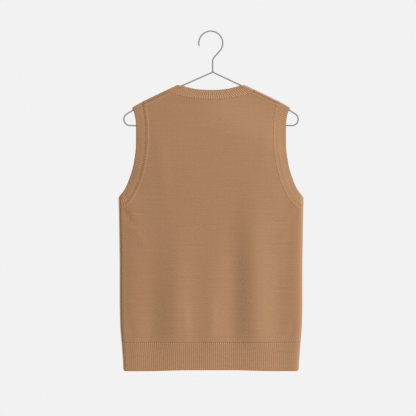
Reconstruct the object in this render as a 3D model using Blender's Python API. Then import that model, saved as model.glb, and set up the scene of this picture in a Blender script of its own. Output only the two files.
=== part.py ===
"""Knitted sweater vest on the wire hanger that holds it.

Metres, +Z up. The origin is the inside top of the hanger's hook, where it rests on a rail.
The back of the vest faces -Y, the V-neck front faces +Y. DROP sizes are measured down from the origin.
"""

import bmesh
import bpy
import numpy as np

MM = 0.001

# --- cloth ---------------------------------------------------------------
JERSEY_T = 2.4          # thickness of the plain knit panels
RIB_T = 2.8             # thickness of the ribbed bands
SEAM_HALF = 0.15        # half of the gap left at every seam
RIDGE_R = 3.6           # middle of the cloth as it folds over the shoulder

# --- shoulder line -------------------------------------------------------
NECK_X = 79.6           # collar's free edge at the shoulder, half width
NECK_DROP = 127.3
SHOULDER_SLOPE = 0.49
SHOULDER_ROUND = 25.0   # how softly the line passes the centre
KINK_X = 173.0          # past here the unsupported armhole band droops
KINK_MORE = 0.11
KINK_SOFT = 4.0

# --- body of the hanging tube -------------------------------------------
SIDE_POWER = 4.5        # flatness of the tube's cross-section
DRAPE_RISE = 130.0      # below the shoulder fold the two layers part over this drop
HEM_TOP = 750.0
HEM_SIDE = 819.4
HEM_MIDDLE = 817.0
# drop, half width of the folded side edge
SIDE_WIDTH = (
    (400.0, 222.8), (470.0, 221.4), (560.0, 220.2), (660.0, 220.2),
    (712.0, 219.0), (750.0, 215.9), (785.0, 213.2), (820.0, 211.2),
)
# drop, half depth at the middle
HALF_DEPTH = (
    (120.0, 8.5), (180.0, 10.5), (250.0, 13.5), (340.0, 16.5), (422.0, 18.0),
    (510.0, 19.0), (600.0, 19.5), (690.0, 19.5), (750.0, 18.5), (820.0, 17.5),
)
# hanging folds: side (-1 back, 1 front), x at drop 450, x at drop 720, spread, height out, drop where it starts
FOLDS = (
    (-1, 104.0, 107.0, 30.0, 4.4, 300.0),
    (-1, 54.0, 51.0, 26.0, -3.4, 360.0),
    (-1, -76.0, -84.0, 32.0, 5.0, 400.0),
    (-1, -138.0, -142.0, 22.0, -1.4, 430.0),
    (-1, -6.0, -4.0, 20.0, 1.6, 470.0),
    (-1, 160.0, 156.0, 22.0, -1.8, 400.0),
    (1, -96.0, -103.0, 32.0, 4.6, 380.0),
    (1, -46.0, -44.0, 24.0, -3.0, 430.0),
    (1, 84.0, 90.0, 30.0, 4.8, 400.0),
    (1, 138.0, 146.0, 22.0, -1.8, 440.0),
    (1, 20.0, 24.0, 20.0, 1.8, 470.0),
)
FOLD_GROWTH = 300.0     # a fold reaches its full height this far below its start
FOLD_END = 40.0         # and dies away over the ribbed hem

# --- seam and edge lines, one row per station ---------------------------
# armhole: edge x, edge drop, seam x, seam drop (from below the shoulder fold to the underarm)
ARMHOLE = (
    (188.2, 190.5, 164.9, 177.5),
    (184.6, 202.0, 162.2, 193.0),
    (182.2, 215.0, 160.0, 208.0),
    (181.3, 234.0, 158.3, 227.0),
    (181.2, 258.0, 158.0, 252.0),
    (181.8, 286.0, 159.4, 284.0),
    (184.4, 306.0, 162.5, 309.5),
    (189.4, 332.0, 168.4, 339.0),
    (196.2, 353.0, 176.0, 363.0),
    (204.6, 374.0, 186.5, 386.5),
    (213.2, 388.7, 198.0, 405.5),
    (218.6, 394.8, 208.5, 416.0),
)
UNDERARM_EDGE_DROP = 400.5
UNDERARM_SEAM_DROP = 422.3
ARM_EDGE_TOP = 190.7    # at the shoulder fold
ARM_SEAM_TOP = 166.3
ARM_EDGE_FOLD = 189.9   # where the fold ends, on both sides
ARM_SEAM_FOLD = 165.4

# neck: the seam line meets the panels' columns
NECK_SEAM_TOP = 105.5
NECK_SEAM_FOLD = 102.0
SHOULDER_SEAM = 7.2     # the front wraps over the shoulder this far down the back
# back neck: seam x, seam drop, edge x, edge drop
BACK_NECK = (
    (0.0, 163.4, 0.0, 140.8),
    (14.0, 163.1, 9.6, 140.7),
    (28.0, 162.3, 19.2, 140.2),
    (42.0, 161.0, 28.8, 139.4),
    (56.0, 158.9, 39.0, 138.1),
    (70.0, 156.2, 50.5, 136.1),
    (82.0, 153.2, 60.5, 133.9),
    (92.0, 149.3, 67.0, 132.3),
)
BACK_EDGE_FOLD = 71.5
FRONT_EDGE_FOLD = 78.9
V_EDGE_DROP = 318.0
V_SEAM_DROP = 365.0
V_EDGE_CURVE = 1.25
V_SEAM_CURVE = 1.15

# --- panel grid ----------------------------------------------------------
# columns: share of the half width; the neck corner falls on NECK_COLUMN
COLUMNS = (0.0, 0.0847, 0.1694, 0.2541, 0.3388, 0.4235, 0.4961, 0.5566, 0.6168,
           0.672, 0.735, 0.795, 0.85, 0.895, 0.93, 0.96, 0.983, 1.0)
NECK_COLUMN = 8
ROWS_BELOW = (750.0, 726.0, 694.0, 655.0, 612.0, 566.0, 518.0, 468.0)
HEM_ROWS = (0.0, 0.48, 0.9, 1.0)

# --- hanger --------------------------------------------------------------
WIRE_R = 1.75
WIRE_SIDES = 10
APEX_X = 3.9
APEX_DROP = 97.5
APEX_BEND = 8.0
ARM_REST_X = 152.0      # last point where the shoulder rests on the arm
ARM_REST_DROP = 166.8
ARM_REST_BEND = 90.0
TIP_HALF = 211.0
TIP_BEND = 15.3
BAR_DROP = 227.0
HOOK_R = 29.0
HOOK_X = -0.7
HOOK_TOP = -1.75        # middle of the wire: its underside is at the origin
HOOK_LEAVE = 42.0       # degrees below level where the round ends on the neck's side
HOOK_TIP = 14.0         # degrees below level where the wire ends on the open side
NECK_BEND = 16.0
FOOT_DROP = 96.25


def lookup(table, at):
    rows = np.array(table)
    return np.interp(at, rows[:, 0], rows[:, 1])


def smooth_lookup(table, at):
    """Table value with the corners between rows rounded off."""
    return sum(lookup(table, at + step) for step in (-24.0, -12.0, 0.0, 12.0, 24.0)) / 5.0


def smoothstep(value):
    t = np.clip(value, 0.0, 1.0)
    return t * t * (3.0 - 2.0 * t)


def ridge(x):
    """Drop of the shoulder's outer line, carried on across the neck."""
    over = np.logaddexp(0.0, (np.abs(x) - KINK_X) / KINK_SOFT) * KINK_SOFT
    run = np.sqrt(x * x + SHOULDER_ROUND**2) - np.sqrt(NECK_X**2 + SHOULDER_ROUND**2)
    return NECK_DROP + SHOULDER_SLOPE * run + KINK_MORE * over


def ridge_lean(x):
    """Cosine of the shoulder line's tilt."""
    slope = (ridge(x + 0.5) - ridge(x - 0.5)) / 1.0
    return 1.0 / np.sqrt(1.0 + slope * slope)


def fold_start(x):
    """Drop at which the shoulder fold turns into the hanging back or front."""
    return ridge(x) + (RIDGE_R + JERSEY_T / 2.0) / ridge_lean(x)


def half_depth_squared(x, drop):
    below = drop - fold_start(x)
    if below < 0.0:
        rise = below * ridge_lean(x)
        return max(RIDGE_R**2 - rise * rise, 0.0)
    blend = smoothstep(below / DRAPE_RISE)
    side = max(1.0 - abs(x / lookup(SIDE_WIDTH, drop)) ** SIDE_POWER, 0.0)
    if blend >= 1.0:
        return smooth_lookup(HALF_DEPTH, drop) ** 2 * side
    full = smooth_lookup(HALF_DEPTH, drop) * np.sqrt(side)
    return (RIDGE_R * (1.0 - blend) + full * blend) ** 2


def fold_offset(x, drop, side):
    """How far the hanging folds push the cloth along Y."""
    total = 0.0
    for fold_side, x_high, x_low, spread, height, start in FOLDS:
        if fold_side == side:
            at = x_high + (x_low - x_high) * (drop - 450.0) / 270.0
            strength = smoothstep((drop - start) / FOLD_GROWTH)
            strength *= 1.0 - 0.85 * smoothstep((drop - HEM_TOP + FOLD_END) / (2.0 * FOLD_END))
            total += height * strength * np.exp(-(((x - at) / spread) ** 2))
    edge = 1.0 - smoothstep((abs(x) - 185.0) / 30.0)
    return side * total * edge


def surface(x, drop, side):
    """Point in the middle of the cloth and its outward normal, in mm."""
    depth2 = half_depth_squared(x, drop)
    offset = fold_offset(x, drop, side)
    step = 0.05
    grad_x = (half_depth_squared(x + step, drop) - half_depth_squared(x - step, drop)) / (2 * step)
    grad_d = (half_depth_squared(x, drop + step) - half_depth_squared(x, drop - step)) / (2 * step)
    fold_x = (fold_offset(x + step, drop, side) - fold_offset(x - step, drop, side)) / (2 * step)
    fold_d = (fold_offset(x, drop + step, side) - fold_offset(x, drop - step, side)) / (2 * step)
    rise = side * np.sqrt(depth2)
    normal = np.array((-2 * rise * fold_x - grad_x, 2 * rise, 2 * rise * fold_d + grad_d))
    length = np.linalg.norm(normal)
    return np.array((x, rise + offset, -drop)), normal / length


def over_fold(x, angle):
    """Drop of the cloth's middle on the shoulder fold, 0 degrees at its top."""
    return fold_start(x) - RIDGE_R / ridge_lean(x) * np.cos(np.radians(angle))


def thick_cloth(name, points, normals, quads, thickness, material):
    """One closed sheet: both faces and a wall round every open edge, drawn back from the seams."""
    points = np.array(points)
    normals = np.array(normals)
    edges = {}
    for quad in quads:
        middle = points[list(quad)].mean(axis=0)
        for start, end in zip(quad, quad[1:] + quad[:1]):
            edges[(start, end)] = middle
    rim = [pair for pair in edges if pair[::-1] not in edges]
    inward = {}
    for start, end in rim:
        along = points[end] - points[start]
        along /= np.linalg.norm(along)
        to_middle = edges[(start, end)] - points[start]
        side = to_middle - along * to_middle.dot(along)
        side /= np.linalg.norm(side)
        for corner in (start, end):
            inward.setdefault(corner, []).append(side)
    moved = points.copy()
    for corner, (first, second) in inward.items():
        mitre = (first + second) / max(1.0 + first.dot(second), 0.35)
        moved[corner] = points[corner] + SEAM_HALF * mitre
    half = thickness / 2.0
    count = len(points)
    verts = np.concatenate([moved + normals * half, moved - normals * half]) * MM
    faces = list(quads)
    faces += [tuple(count + i for i in quad[::-1]) for quad in quads]
    faces += [(end, start, count + start, count + end) for start, end in rim]
    make_object(name, verts, faces, material)


def make_object(name, verts, faces, material):
    mesh = bpy.data.meshes.new(name)
    mesh.from_pydata([tuple(v) for v in verts], [], [tuple(f) for f in faces])
    shape = bmesh.new()
    shape.from_mesh(mesh)
    bmesh.ops.recalc_face_normals(shape, faces=shape.faces)
    bmesh.ops.triangulate(shape, faces=shape.faces)
    shape.to_mesh(mesh)
    shape.free()
    mesh.materials.append(material)
    obj = bpy.data.objects.new(name, mesh)
    bpy.context.scene.collection.objects.link(obj)


def grid_quads(rows):
    """Quads between neighbouring rows of point numbers; a missing number leaves a hole."""
    quads = []
    for low, high in zip(rows, rows[1:]):
        for k in range(len(low) - 1):
            quad = (low[k], low[k + 1], high[k + 1], high[k])
            if None not in quad:
                quads.append(quad)
    return quads


class Sheet:
    """Collects stations of (x, drop, side) and gives back their numbers."""

    def __init__(self):
        self.points = []
        self.normals = []

    def add(self, x, drop, side):
        point, normal = surface(x, drop, side)
        self.points.append(point)
        self.normals.append(normal)
        return len(self.points) - 1

    def row(self, stations, side):
        return [self.add(x, drop, side) for x, drop in stations]


def mirrored(half):
    """Stations from the middle outwards, carried to the other half as well."""
    return [(-x, drop) for x, drop in half[:0:-1]] + list(half)


def hem_bottom(share):
    drop = HEM_MIDDLE + (HEM_SIDE - HEM_MIDDLE) * smoothstep((share - 0.25) / 0.5)
    return drop - 4.5 * smoothstep((share - 0.96) / 0.04)


def v_line(share_x, top_x, top_drop, low_drop, curve):
    """Drop of a V-neck line where its x is share_x of its width at the top."""
    run = (1.0 - share_x) ** (1.0 / curve)
    return top_drop + (low_drop - top_drop) * run


def shoulder_seam_drop(x):
    return ridge(x) + SHOULDER_SEAM


def front_neck_seam(x):
    top = fold_start(NECK_SEAM_FOLD)
    return v_line(x / NECK_SEAM_FOLD, NECK_SEAM_FOLD, top, V_SEAM_DROP, V_SEAM_CURVE)


def back_neck_seam(x):
    rows = np.array(BACK_NECK + ((NECK_SEAM_FOLD, shoulder_seam_drop(NECK_SEAM_FOLD), 0.0, 0.0),))
    return np.interp(x, rows[:, 0], rows[:, 1])


def side_stations():
    """(seam x, drop) of the panels' side, from the hem seam up to the shoulder."""
    rows = [(lookup(SIDE_WIDTH, drop), drop) for drop in ROWS_BELOW]
    rows.append((lookup(SIDE_WIDTH, UNDERARM_SEAM_DROP), UNDERARM_SEAM_DROP))
    rows += [(seam_x, seam_drop) for _, _, seam_x, seam_drop in ARMHOLE[::-1]]
    return rows


def panel_rows(sheet, side, top_drop):
    """Rows of the panel from the hem seam to its top line, meeting the armhole seam on both sides."""
    stations = side_stations()
    low_drop = UNDERARM_SEAM_DROP
    end_x, end_drop = ARM_SEAM_FOLD, top_drop(ARM_SEAM_FOLD)
    rows = []
    for edge_x, edge_drop in stations + [(end_x, end_drop)]:
        share = (low_drop - edge_drop) / (low_drop - end_drop)
        half = []
        for column in COLUMNS:
            drop = edge_drop
            if share > 0.0:
                drop = low_drop + (top_drop(column * end_x) - low_drop) * share
            half.append((column * edge_x, drop))
        rows.append(sheet.row(mirrored(half), side))
    return rows


def back_top(x):
    if x < NECK_SEAM_FOLD - 0.5:
        return back_neck_seam(x)
    return shoulder_seam_drop(x)


def front_top(x):
    if x < NECK_SEAM_FOLD - 0.5:
        return front_neck_seam(x)
    return fold_start(x)


def build_back_panel(material):
    sheet = Sheet()
    rows = panel_rows(sheet, -1, back_top)
    thick_cloth("back_panel", sheet.points, sheet.normals, grid_quads(rows), JERSEY_T, material)


def shoulder_wrap(sheet, top_row, mirror):
    """The front panel's strip over one shoulder, down to the seam on the back."""
    middle = len(COLUMNS) - 1
    order = list(range(NECK_COLUMN, len(COLUMNS)))[::mirror]
    rows = [[top_row[middle + mirror * k] for k in order]]
    for angle in (50.0, 0.0, -50.0, -90.0, None):
        side = 1 if angle is not None and angle > 0.0 else -1
        top_share = 0.0 if angle is None else np.cos(np.radians(angle))
        neck = NECK_SEAM_FOLD + (NECK_SEAM_TOP - NECK_SEAM_FOLD) * top_share
        arm = ARM_SEAM_FOLD + (ARM_SEAM_TOP - ARM_SEAM_FOLD) * top_share
        row = []
        for k in order:
            along = (COLUMNS[k] - COLUMNS[NECK_COLUMN]) / (1.0 - COLUMNS[NECK_COLUMN])
            x = neck + (arm - neck) * along
            drop = shoulder_seam_drop(x) if angle is None else over_fold(x, angle)
            row.append(sheet.add(mirror * x, drop, side))
        rows.append(row)
    return rows


def build_front_panel(material):
    sheet = Sheet()
    rows = panel_rows(sheet, 1, front_top)
    quads = grid_quads(rows)
    for mirror in (1, -1):
        quads += grid_quads(shoulder_wrap(sheet, rows[-1], mirror))
    thick_cloth("front_panel", sheet.points, sheet.normals, quads, JERSEY_T, material)


def build_hem(name, side, material):
    sheet = Sheet()
    rows = []
    for share in HEM_ROWS:
        half = []
        for column in COLUMNS:
            drop = HEM_TOP + (hem_bottom(column) - HEM_TOP) * share
            half.append((column * lookup(SIDE_WIDTH, drop), drop))
        rows.append(sheet.row(mirrored(half), side))
    thick_cloth(name, sheet.points, sheet.normals, grid_quads(rows), RIB_T, material)


def fold_stations(edge_top, edge_front, edge_back, seam_top, seam_fold, mirror):
    """Stations of a band over the shoulder, front to back."""
    stations = []
    for angle in (90.0, 50.0, 0.0, -50.0, -90.0):
        top_share = np.cos(np.radians(angle))
        edge_fold = edge_front if angle > 0.0 else edge_back
        edge_x = edge_fold + (edge_top - edge_fold) * top_share
        seam_x = seam_fold + (seam_top - seam_fold) * top_share
        side = 1 if angle > 0.0 else -1
        stations.append((mirror * edge_x, over_fold(edge_x, angle), mirror * seam_x, over_fold(seam_x, angle), side))
    return stations


def ring_sheet(name, stations, mirror, material):
    """A ribbed band sewn round an opening. Its middle row lies on the cloth's own surface."""
    sheet = Sheet()
    edge, middle, seam = [], [], []
    for edge_x, edge_drop, seam_x, seam_drop, side in stations:
        edge.append(sheet.add(edge_x, edge_drop, side))
        seam.append(sheet.add(seam_x, seam_drop, side))
        mid_x = (edge_x + seam_x) / 2.0
        angle = fold_angle(edge_x, edge_drop, side)
        mid_drop = (edge_drop + seam_drop) / 2.0
        if angle is not None:
            mid_drop = over_fold(mid_x, angle)
        middle.append(sheet.add(mid_x, mid_drop, side))
    rows = [row + row[:1] for row in (edge, middle, seam)]
    thick_cloth(name, sheet.points, sheet.normals, grid_quads(rows), RIB_T, material)


def fold_angle(x, drop, side):
    """Angle on the shoulder fold, or None below it."""
    rise = (fold_start(x) - drop) * ridge_lean(x) / RIDGE_R
    if rise < -1e-6:
        return None
    return side * np.degrees(np.arccos(min(rise, 1.0)))


def build_armhole_band(name, mirror, material):
    back = [(mirror * ex, ed, mirror * sx, sd, -1) for ex, ed, sx, sd in ARMHOLE]
    front = [(ex, ed, sx, sd, 1) for ex, ed, sx, sd, _ in back[::-1]]
    edge_x = mirror * lookup(SIDE_WIDTH, UNDERARM_EDGE_DROP)
    seam_x = mirror * lookup(SIDE_WIDTH, UNDERARM_SEAM_DROP)
    under = [(edge_x, UNDERARM_EDGE_DROP, seam_x, UNDERARM_SEAM_DROP, -1)]
    over = fold_stations(ARM_EDGE_TOP, ARM_EDGE_FOLD, ARM_EDGE_FOLD, ARM_SEAM_TOP, ARM_SEAM_FOLD, mirror)
    ring_sheet(name, over + back + under + front, mirror, material)


def build_neckband(material):
    stations = []
    for mirror in (1, -1):
        over = fold_stations(NECK_X, FRONT_EDGE_FOLD, BACK_EDGE_FOLD, NECK_SEAM_TOP, NECK_SEAM_FOLD, mirror)
        seam_x = mirror * NECK_SEAM_FOLD
        corner = (mirror * (BACK_EDGE_FOLD - 1.6), 131.6, seam_x, shoulder_seam_drop(NECK_SEAM_FOLD), -1)
        back = [(mirror * ex, ed, mirror * sx, sd, -1) for sx, sd, ex, ed in BACK_NECK[::-1]]
        top = fold_start(FRONT_EDGE_FOLD)
        front = []
        for column in COLUMNS[:NECK_COLUMN]:
            x = column / COLUMNS[NECK_COLUMN] * NECK_SEAM_FOLD
            run = (1.0 - x / NECK_SEAM_FOLD) ** (1.0 / V_SEAM_CURVE)
            edge_drop = top + (V_EDGE_DROP - top) * run
            edge_x = FRONT_EDGE_FOLD * (1.0 - run**V_EDGE_CURVE)
            front.append((mirror * edge_x, edge_drop, mirror * x, front_neck_seam(x), 1))
        half = front + over + [corner] + back
        if mirror == 1:
            stations = half
        else:
            stations += half[-2:0:-1]
    ring_sheet("neckband", stations, 1, material)


def arc(centre, radius, start, end, steps):
    """Points of an arc in (x, drop), angles in degrees from +x towards more drop."""
    angles = np.radians(np.linspace(start, end, steps + 1))
    return [(centre[0] + radius * np.cos(a), centre[1] + radius * np.sin(a)) for a in angles]


def filleted(before, corner, after, radius, steps):
    """Points of the round that replaces a corner."""
    corner = np.array(corner, float)
    u = np.array(before, float) - corner
    v = np.array(after, float) - corner
    u /= np.linalg.norm(u)
    v /= np.linalg.norm(v)
    half = np.arccos(np.clip(u.dot(v), -1.0, 1.0)) / 2.0
    reach = radius / np.tan(half)
    middle = (u + v) / np.linalg.norm(u + v)
    centre = corner + middle * radius / np.sin(half)
    start = corner + u * reach - centre
    end = corner + v * reach - centre
    first = np.arctan2(start[1], start[0])
    turn = np.arctan2(end[1], end[0]) - first
    turn = (turn + np.pi) % (2 * np.pi) - np.pi
    angles = first + turn * np.linspace(0.0, 1.0, steps + 1)
    return [(centre[0] + radius * np.cos(a), centre[1] + radius * np.sin(a)) for a in angles]


def frame_path():
    """Closed line of the hanger's wire in (x, drop)."""
    rest = np.array((ARM_REST_X, ARM_REST_DROP))
    centre = np.array((TIP_HALF - TIP_BEND, BAR_DROP - TIP_BEND))
    away = centre - rest
    lean = np.arctan2(away[1], away[0]) - np.arcsin(TIP_BEND / np.linalg.norm(away))
    touch = np.degrees(lean) - 90.0
    apex = (APEX_X, APEX_DROP)
    right, left = tuple(rest), (-rest[0], rest[1])
    beyond = (rest[0] + np.cos(lean), rest[1] + np.sin(lean))
    path = filleted(left, apex, right, APEX_BEND, 6)
    path += filleted(apex, right, beyond, ARM_REST_BEND, 4)
    path += arc(centre, TIP_BEND, touch, 90.0, 10)
    path += arc((-centre[0], centre[1]), TIP_BEND, 90.0, 180.0 - touch, 10)
    path += filleted((-beyond[0], beyond[1]), left, apex, ARM_REST_BEND, 4)
    return path


def hook_path():
    """Open line of the hook from its foot to its tip in (x, drop)."""
    centre = (HOOK_X, HOOK_TOP + HOOK_R)
    start = arc(centre, HOOK_R, HOOK_LEAVE, HOOK_LEAVE, 1)[0]
    down = (-np.sin(np.radians(HOOK_LEAVE)), np.cos(np.radians(HOOK_LEAVE)))
    reach = (APEX_X - start[0]) / down[0]
    corner = (APEX_X, start[1] + reach * down[1])
    path = [(APEX_X, FOOT_DROP)]
    path += filleted(path[0], corner, start, NECK_BEND, 5)
    path += arc(centre, HOOK_R, HOOK_LEAVE, HOOK_TIP - 180.0 - 2 * HOOK_TIP, 30)
    return path


def build_wire(name, path, closed, material):
    """Round wire along a flat line."""
    line = np.array(path)
    count = len(line)
    after = np.roll(line, -1, axis=0) - line
    before = line - np.roll(line, 1, axis=0)
    if not closed:
        after[-1] = before[-1]
        before[0] = after[0]
    after /= np.linalg.norm(after, axis=1)[:, None]
    before /= np.linalg.norm(before, axis=1)[:, None]
    along = after + before
    stretch = 2.0 / np.linalg.norm(along, axis=1)
    along /= np.linalg.norm(along, axis=1)[:, None]
    across = np.stack([along[:, 1], -along[:, 0]], axis=1)
    verts = []
    for centre, direction, wide in zip(line, across, stretch):
        for k in range(WIRE_SIDES):
            turn = 2 * np.pi * (k + 0.5) / WIRE_SIDES
            x, drop = centre + direction * wide * WIRE_R * np.cos(turn)
            verts.append((x * MM, WIRE_R * np.sin(turn) * MM, -drop * MM))
    faces = []
    last = count if closed else count - 1
    for i in range(last):
        low, high = i * WIRE_SIDES, (i + 1) % count * WIRE_SIDES
        for k in range(WIRE_SIDES):
            n = (k + 1) % WIRE_SIDES
            faces.append((low + k, low + n, high + n, high + k))
    if not closed:
        faces.append(tuple(range(WIRE_SIDES)))
        faces.append(tuple((count - 1) * WIRE_SIDES + k for k in range(WIRE_SIDES))[::-1])
    make_object(name, verts, faces, material)


def principled(name, colour, roughness, metallic, sheen):
    material = bpy.data.materials.new(name)
    material.use_nodes = True
    node = material.node_tree.nodes["Principled BSDF"]
    linear = [c / 12.92 if c <= 0.04045 else ((c + 0.055) / 1.055) ** 2.4 for c in colour]
    node.inputs["Base Color"].default_value = (*linear, 1.0)
    node.inputs["Roughness"].default_value = roughness
    node.inputs["Metallic"].default_value = metallic
    node.inputs["Sheen Weight"].default_value = sheen
    material.diffuse_color = (*linear, 1.0)
    return material


for old in list(bpy.data.objects):
    bpy.data.objects.remove(old)

jersey = principled("knit_jersey", (0.67, 0.52, 0.39), 0.9, 0.0, 0.3)
ribbing = principled("knit_rib", (0.65, 0.50, 0.37), 0.9, 0.0, 0.3)
steel = principled("plated_wire", (0.72, 0.72, 0.71), 0.22, 1.0, 0.0)

build_back_panel(jersey)
build_front_panel(jersey)
build_hem("hem_rib_back", -1, ribbing)
build_hem("hem_rib_front", 1, ribbing)
build_neckband(ribbing)
build_armhole_band("armhole_band_right", 1, ribbing)
build_armhole_band("armhole_band_left", -1, ribbing)
build_wire("hanger_frame", frame_path(), True, steel)
build_wire("hanger_hook", hook_path(), False, steel)
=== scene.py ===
# %% [markdown]
# # A knitted sweater vest on its wire hanger
# A vest like this is knitted flat in panels: a plain-knit back and front, and ribbed hems knitted on
# below them. A machine then links the panels at the shoulders and sides, and links a ribbed band to the
# neck and to each armhole. It hangs from a bent steel wire.
#
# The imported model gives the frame: true sizes and places, but plain. Each visible piece is made again
# here on the same form, fine enough to carry ribs, seams and soft folds, and then gets its material.

# %% Load the frame
import bpy
import numpy as np
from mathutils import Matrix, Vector, kdtree


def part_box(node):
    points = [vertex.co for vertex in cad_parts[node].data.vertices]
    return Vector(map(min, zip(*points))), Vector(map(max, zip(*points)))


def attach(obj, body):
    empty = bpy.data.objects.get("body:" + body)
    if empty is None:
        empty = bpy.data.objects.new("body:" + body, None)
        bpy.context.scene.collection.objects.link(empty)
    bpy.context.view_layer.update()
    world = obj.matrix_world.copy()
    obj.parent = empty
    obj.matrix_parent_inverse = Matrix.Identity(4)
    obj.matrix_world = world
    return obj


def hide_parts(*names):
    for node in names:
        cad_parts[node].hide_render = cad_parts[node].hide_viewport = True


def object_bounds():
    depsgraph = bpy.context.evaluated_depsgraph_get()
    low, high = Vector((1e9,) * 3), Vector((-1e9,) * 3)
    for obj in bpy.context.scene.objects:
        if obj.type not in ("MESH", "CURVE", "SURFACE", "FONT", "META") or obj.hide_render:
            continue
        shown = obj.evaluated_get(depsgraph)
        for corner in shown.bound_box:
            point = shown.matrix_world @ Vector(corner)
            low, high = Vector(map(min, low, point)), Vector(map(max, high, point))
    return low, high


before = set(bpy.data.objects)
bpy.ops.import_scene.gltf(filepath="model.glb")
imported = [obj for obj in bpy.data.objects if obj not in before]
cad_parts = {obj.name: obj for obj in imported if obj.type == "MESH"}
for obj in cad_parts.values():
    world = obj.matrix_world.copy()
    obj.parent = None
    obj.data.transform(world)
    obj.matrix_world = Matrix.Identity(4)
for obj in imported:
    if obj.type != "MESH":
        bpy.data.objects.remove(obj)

MM = 0.001
cad_box = [list(corner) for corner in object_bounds()]
print("frame nodes:", sorted(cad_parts))
print("frame box in mm:", [[round(value / MM, 1) for value in corner] for corner in cad_box])

# %% [markdown]
# ## The form of hanging cloth
# All the cloth lies on one surface, so pieces that are linked together always meet. A place on it is
# named by x, across the vest, by its drop below the hook, and by its side, -1 for the back and 1 for the
# front. Over the shoulders the cloth folds round the hanger in a small half circle. Below them the front
# and back part slowly, because a knitted tube opens under its own weight, and soft folds grow downwards.
# Beside each side fold the cloth keeps a fuller roll, as a tube that has been pressed flat does.
# It could be draped by simulation, but a formula puts each fold where it belongs, the same each time.

# %% Sizes of the hanging cloth, in millimetres
RIDGE_R = 3.6           # middle of the cloth as it folds over the shoulder
QUARTER = RIDGE_R * np.pi / 2
JERSEY_T = 2.4
RIB_T = 2.8
NECK_X, NECK_DROP = 79.6, 127.3
SHOULDER_SLOPE, SHOULDER_ROUND = 0.49, 25
KINK_X, KINK_MORE, KINK_SOFT = 173, 0.11, 4
SIDE_POWER = 4.5        # flatness of the tube's cross-section
DRAPE_RISE = 130        # the two layers part over this drop
HEM_TOP = -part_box("hem_rib_back")[1].z / MM - 0.15
HEM_SIDE, HEM_MIDDLE = 819.4, 817
SIDE_WIDTH = (          # drop, half width of the folded side edge
    (400, 222.8), (470, 221.4), (560, 220.2), (660, 220.2),
    (712, 219), (750, 215.9), (785, 213.2), (820, 211.2),
)
HALF_DEPTH = (          # drop, half depth at the middle
    (120, 8.5), (180, 10.5), (250, 13.5), (340, 16.5), (422, 18),
    (510, 19), (600, 19.5), (690, 19.5), (750, 18.5), (820, 17.5),
)
FOLDS = (               # side, x at drop 450, x at drop 720, spread, height out, drop where it starts
    (-1, 104, 107, 30, 4.4, 300),
    (-1, 54, 51, 26, -3.4, 360),
    (-1, -76, -84, 32, 5, 400),
    (-1, -138, -142, 22, -1.4, 430),
    (-1, -6, -4, 20, 1.6, 470),
    (-1, 160, 156, 22, -1.8, 400),
    (1, -96, -103, 32, 4.6, 380),
    (1, -46, -44, 24, -3, 430),
    (1, 84, 90, 30, 4.8, 400),
    (1, 138, 146, 22, -1.8, 440),
    (1, 20, 24, 20, 1.8, 470),
)
FOLD_HIGH, FOLD_LOW = 450, 720          # the two drops of the table
FOLD_GROWTH, FOLD_END = 300, 40
HEM_HOLDS = 0.85        # share of a fold that the ribbed hem pulls flat
FOLDS_TO, FOLDS_FADE = 185, 30          # folds fade out this far from the middle, over this width
SIDE_ROLLS = (          # side, end, crest's distance from the side fold, spread, height out
    (-1, -1, 6, 42, 6.8),
    (-1, -1, 0, 12, 4.2),
    (-1, 1, 4, 24, 6.6),
    (-1, 1, 0, 10, 1.8),
    (1, -1, 5, 26, 6.2),
    (1, -1, 0, 10, 1.8),
    (1, 1, 6, 32, 6),
    (1, 1, 0, 10, 2),
)
ROLL_EDGE = 4           # rounding of the rolls at the side fold
ROLL_START, ROLL_GROWTH = 350, 70


# %% The surface: a place in space and the outward direction for each x, drop and side
def smoothstep(value):
    t = np.clip(value, 0, 1)
    return t * t * (3 - 2 * t)


def soft_lookup(table, at, spacing=12):
    """Table value with the corners between its rows rounded off."""
    rows = np.array(table)
    return sum(np.interp(at + k * spacing, rows[:, 0], rows[:, 1]) for k in (-2, -1, 0, 1, 2)) / 5


def half_width(drop):
    return soft_lookup(SIDE_WIDTH, drop, 3)


def ridge(x):
    """Drop of the shoulder's outer line, carried on across the neck."""
    over = np.logaddexp(0, (np.abs(x) - KINK_X) / KINK_SOFT) * KINK_SOFT
    run = np.sqrt(x * x + SHOULDER_ROUND**2) - np.sqrt(NECK_X**2 + SHOULDER_ROUND**2)
    return NECK_DROP + SHOULDER_SLOPE * run + KINK_MORE * over


def ridge_lean(x):
    """Cosine of the shoulder line's tilt."""
    return 1 / np.sqrt(1 + (ridge(x + 0.5) - ridge(x - 0.5)) ** 2)


def fold_start(x):
    """Drop at which the shoulder fold turns into the hanging back or front."""
    return ridge(x) + (RIDGE_R + JERSEY_T / 2) / ridge_lean(x)


def half_depth_squared(x, drop):
    below = drop - fold_start(x)
    on_fold = RIDGE_R**2 - (below * ridge_lean(x)) ** 2
    blend = smoothstep(below / DRAPE_RISE)
    side = np.maximum(1 - np.abs(x / half_width(drop)) ** SIDE_POWER, 0)
    full = soft_lookup(HALF_DEPTH, drop) * np.sqrt(side)
    hanging = (RIDGE_R * (1 - blend) + full * blend) ** 2
    return np.where(below < 0, on_fold, hanging)


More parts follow.
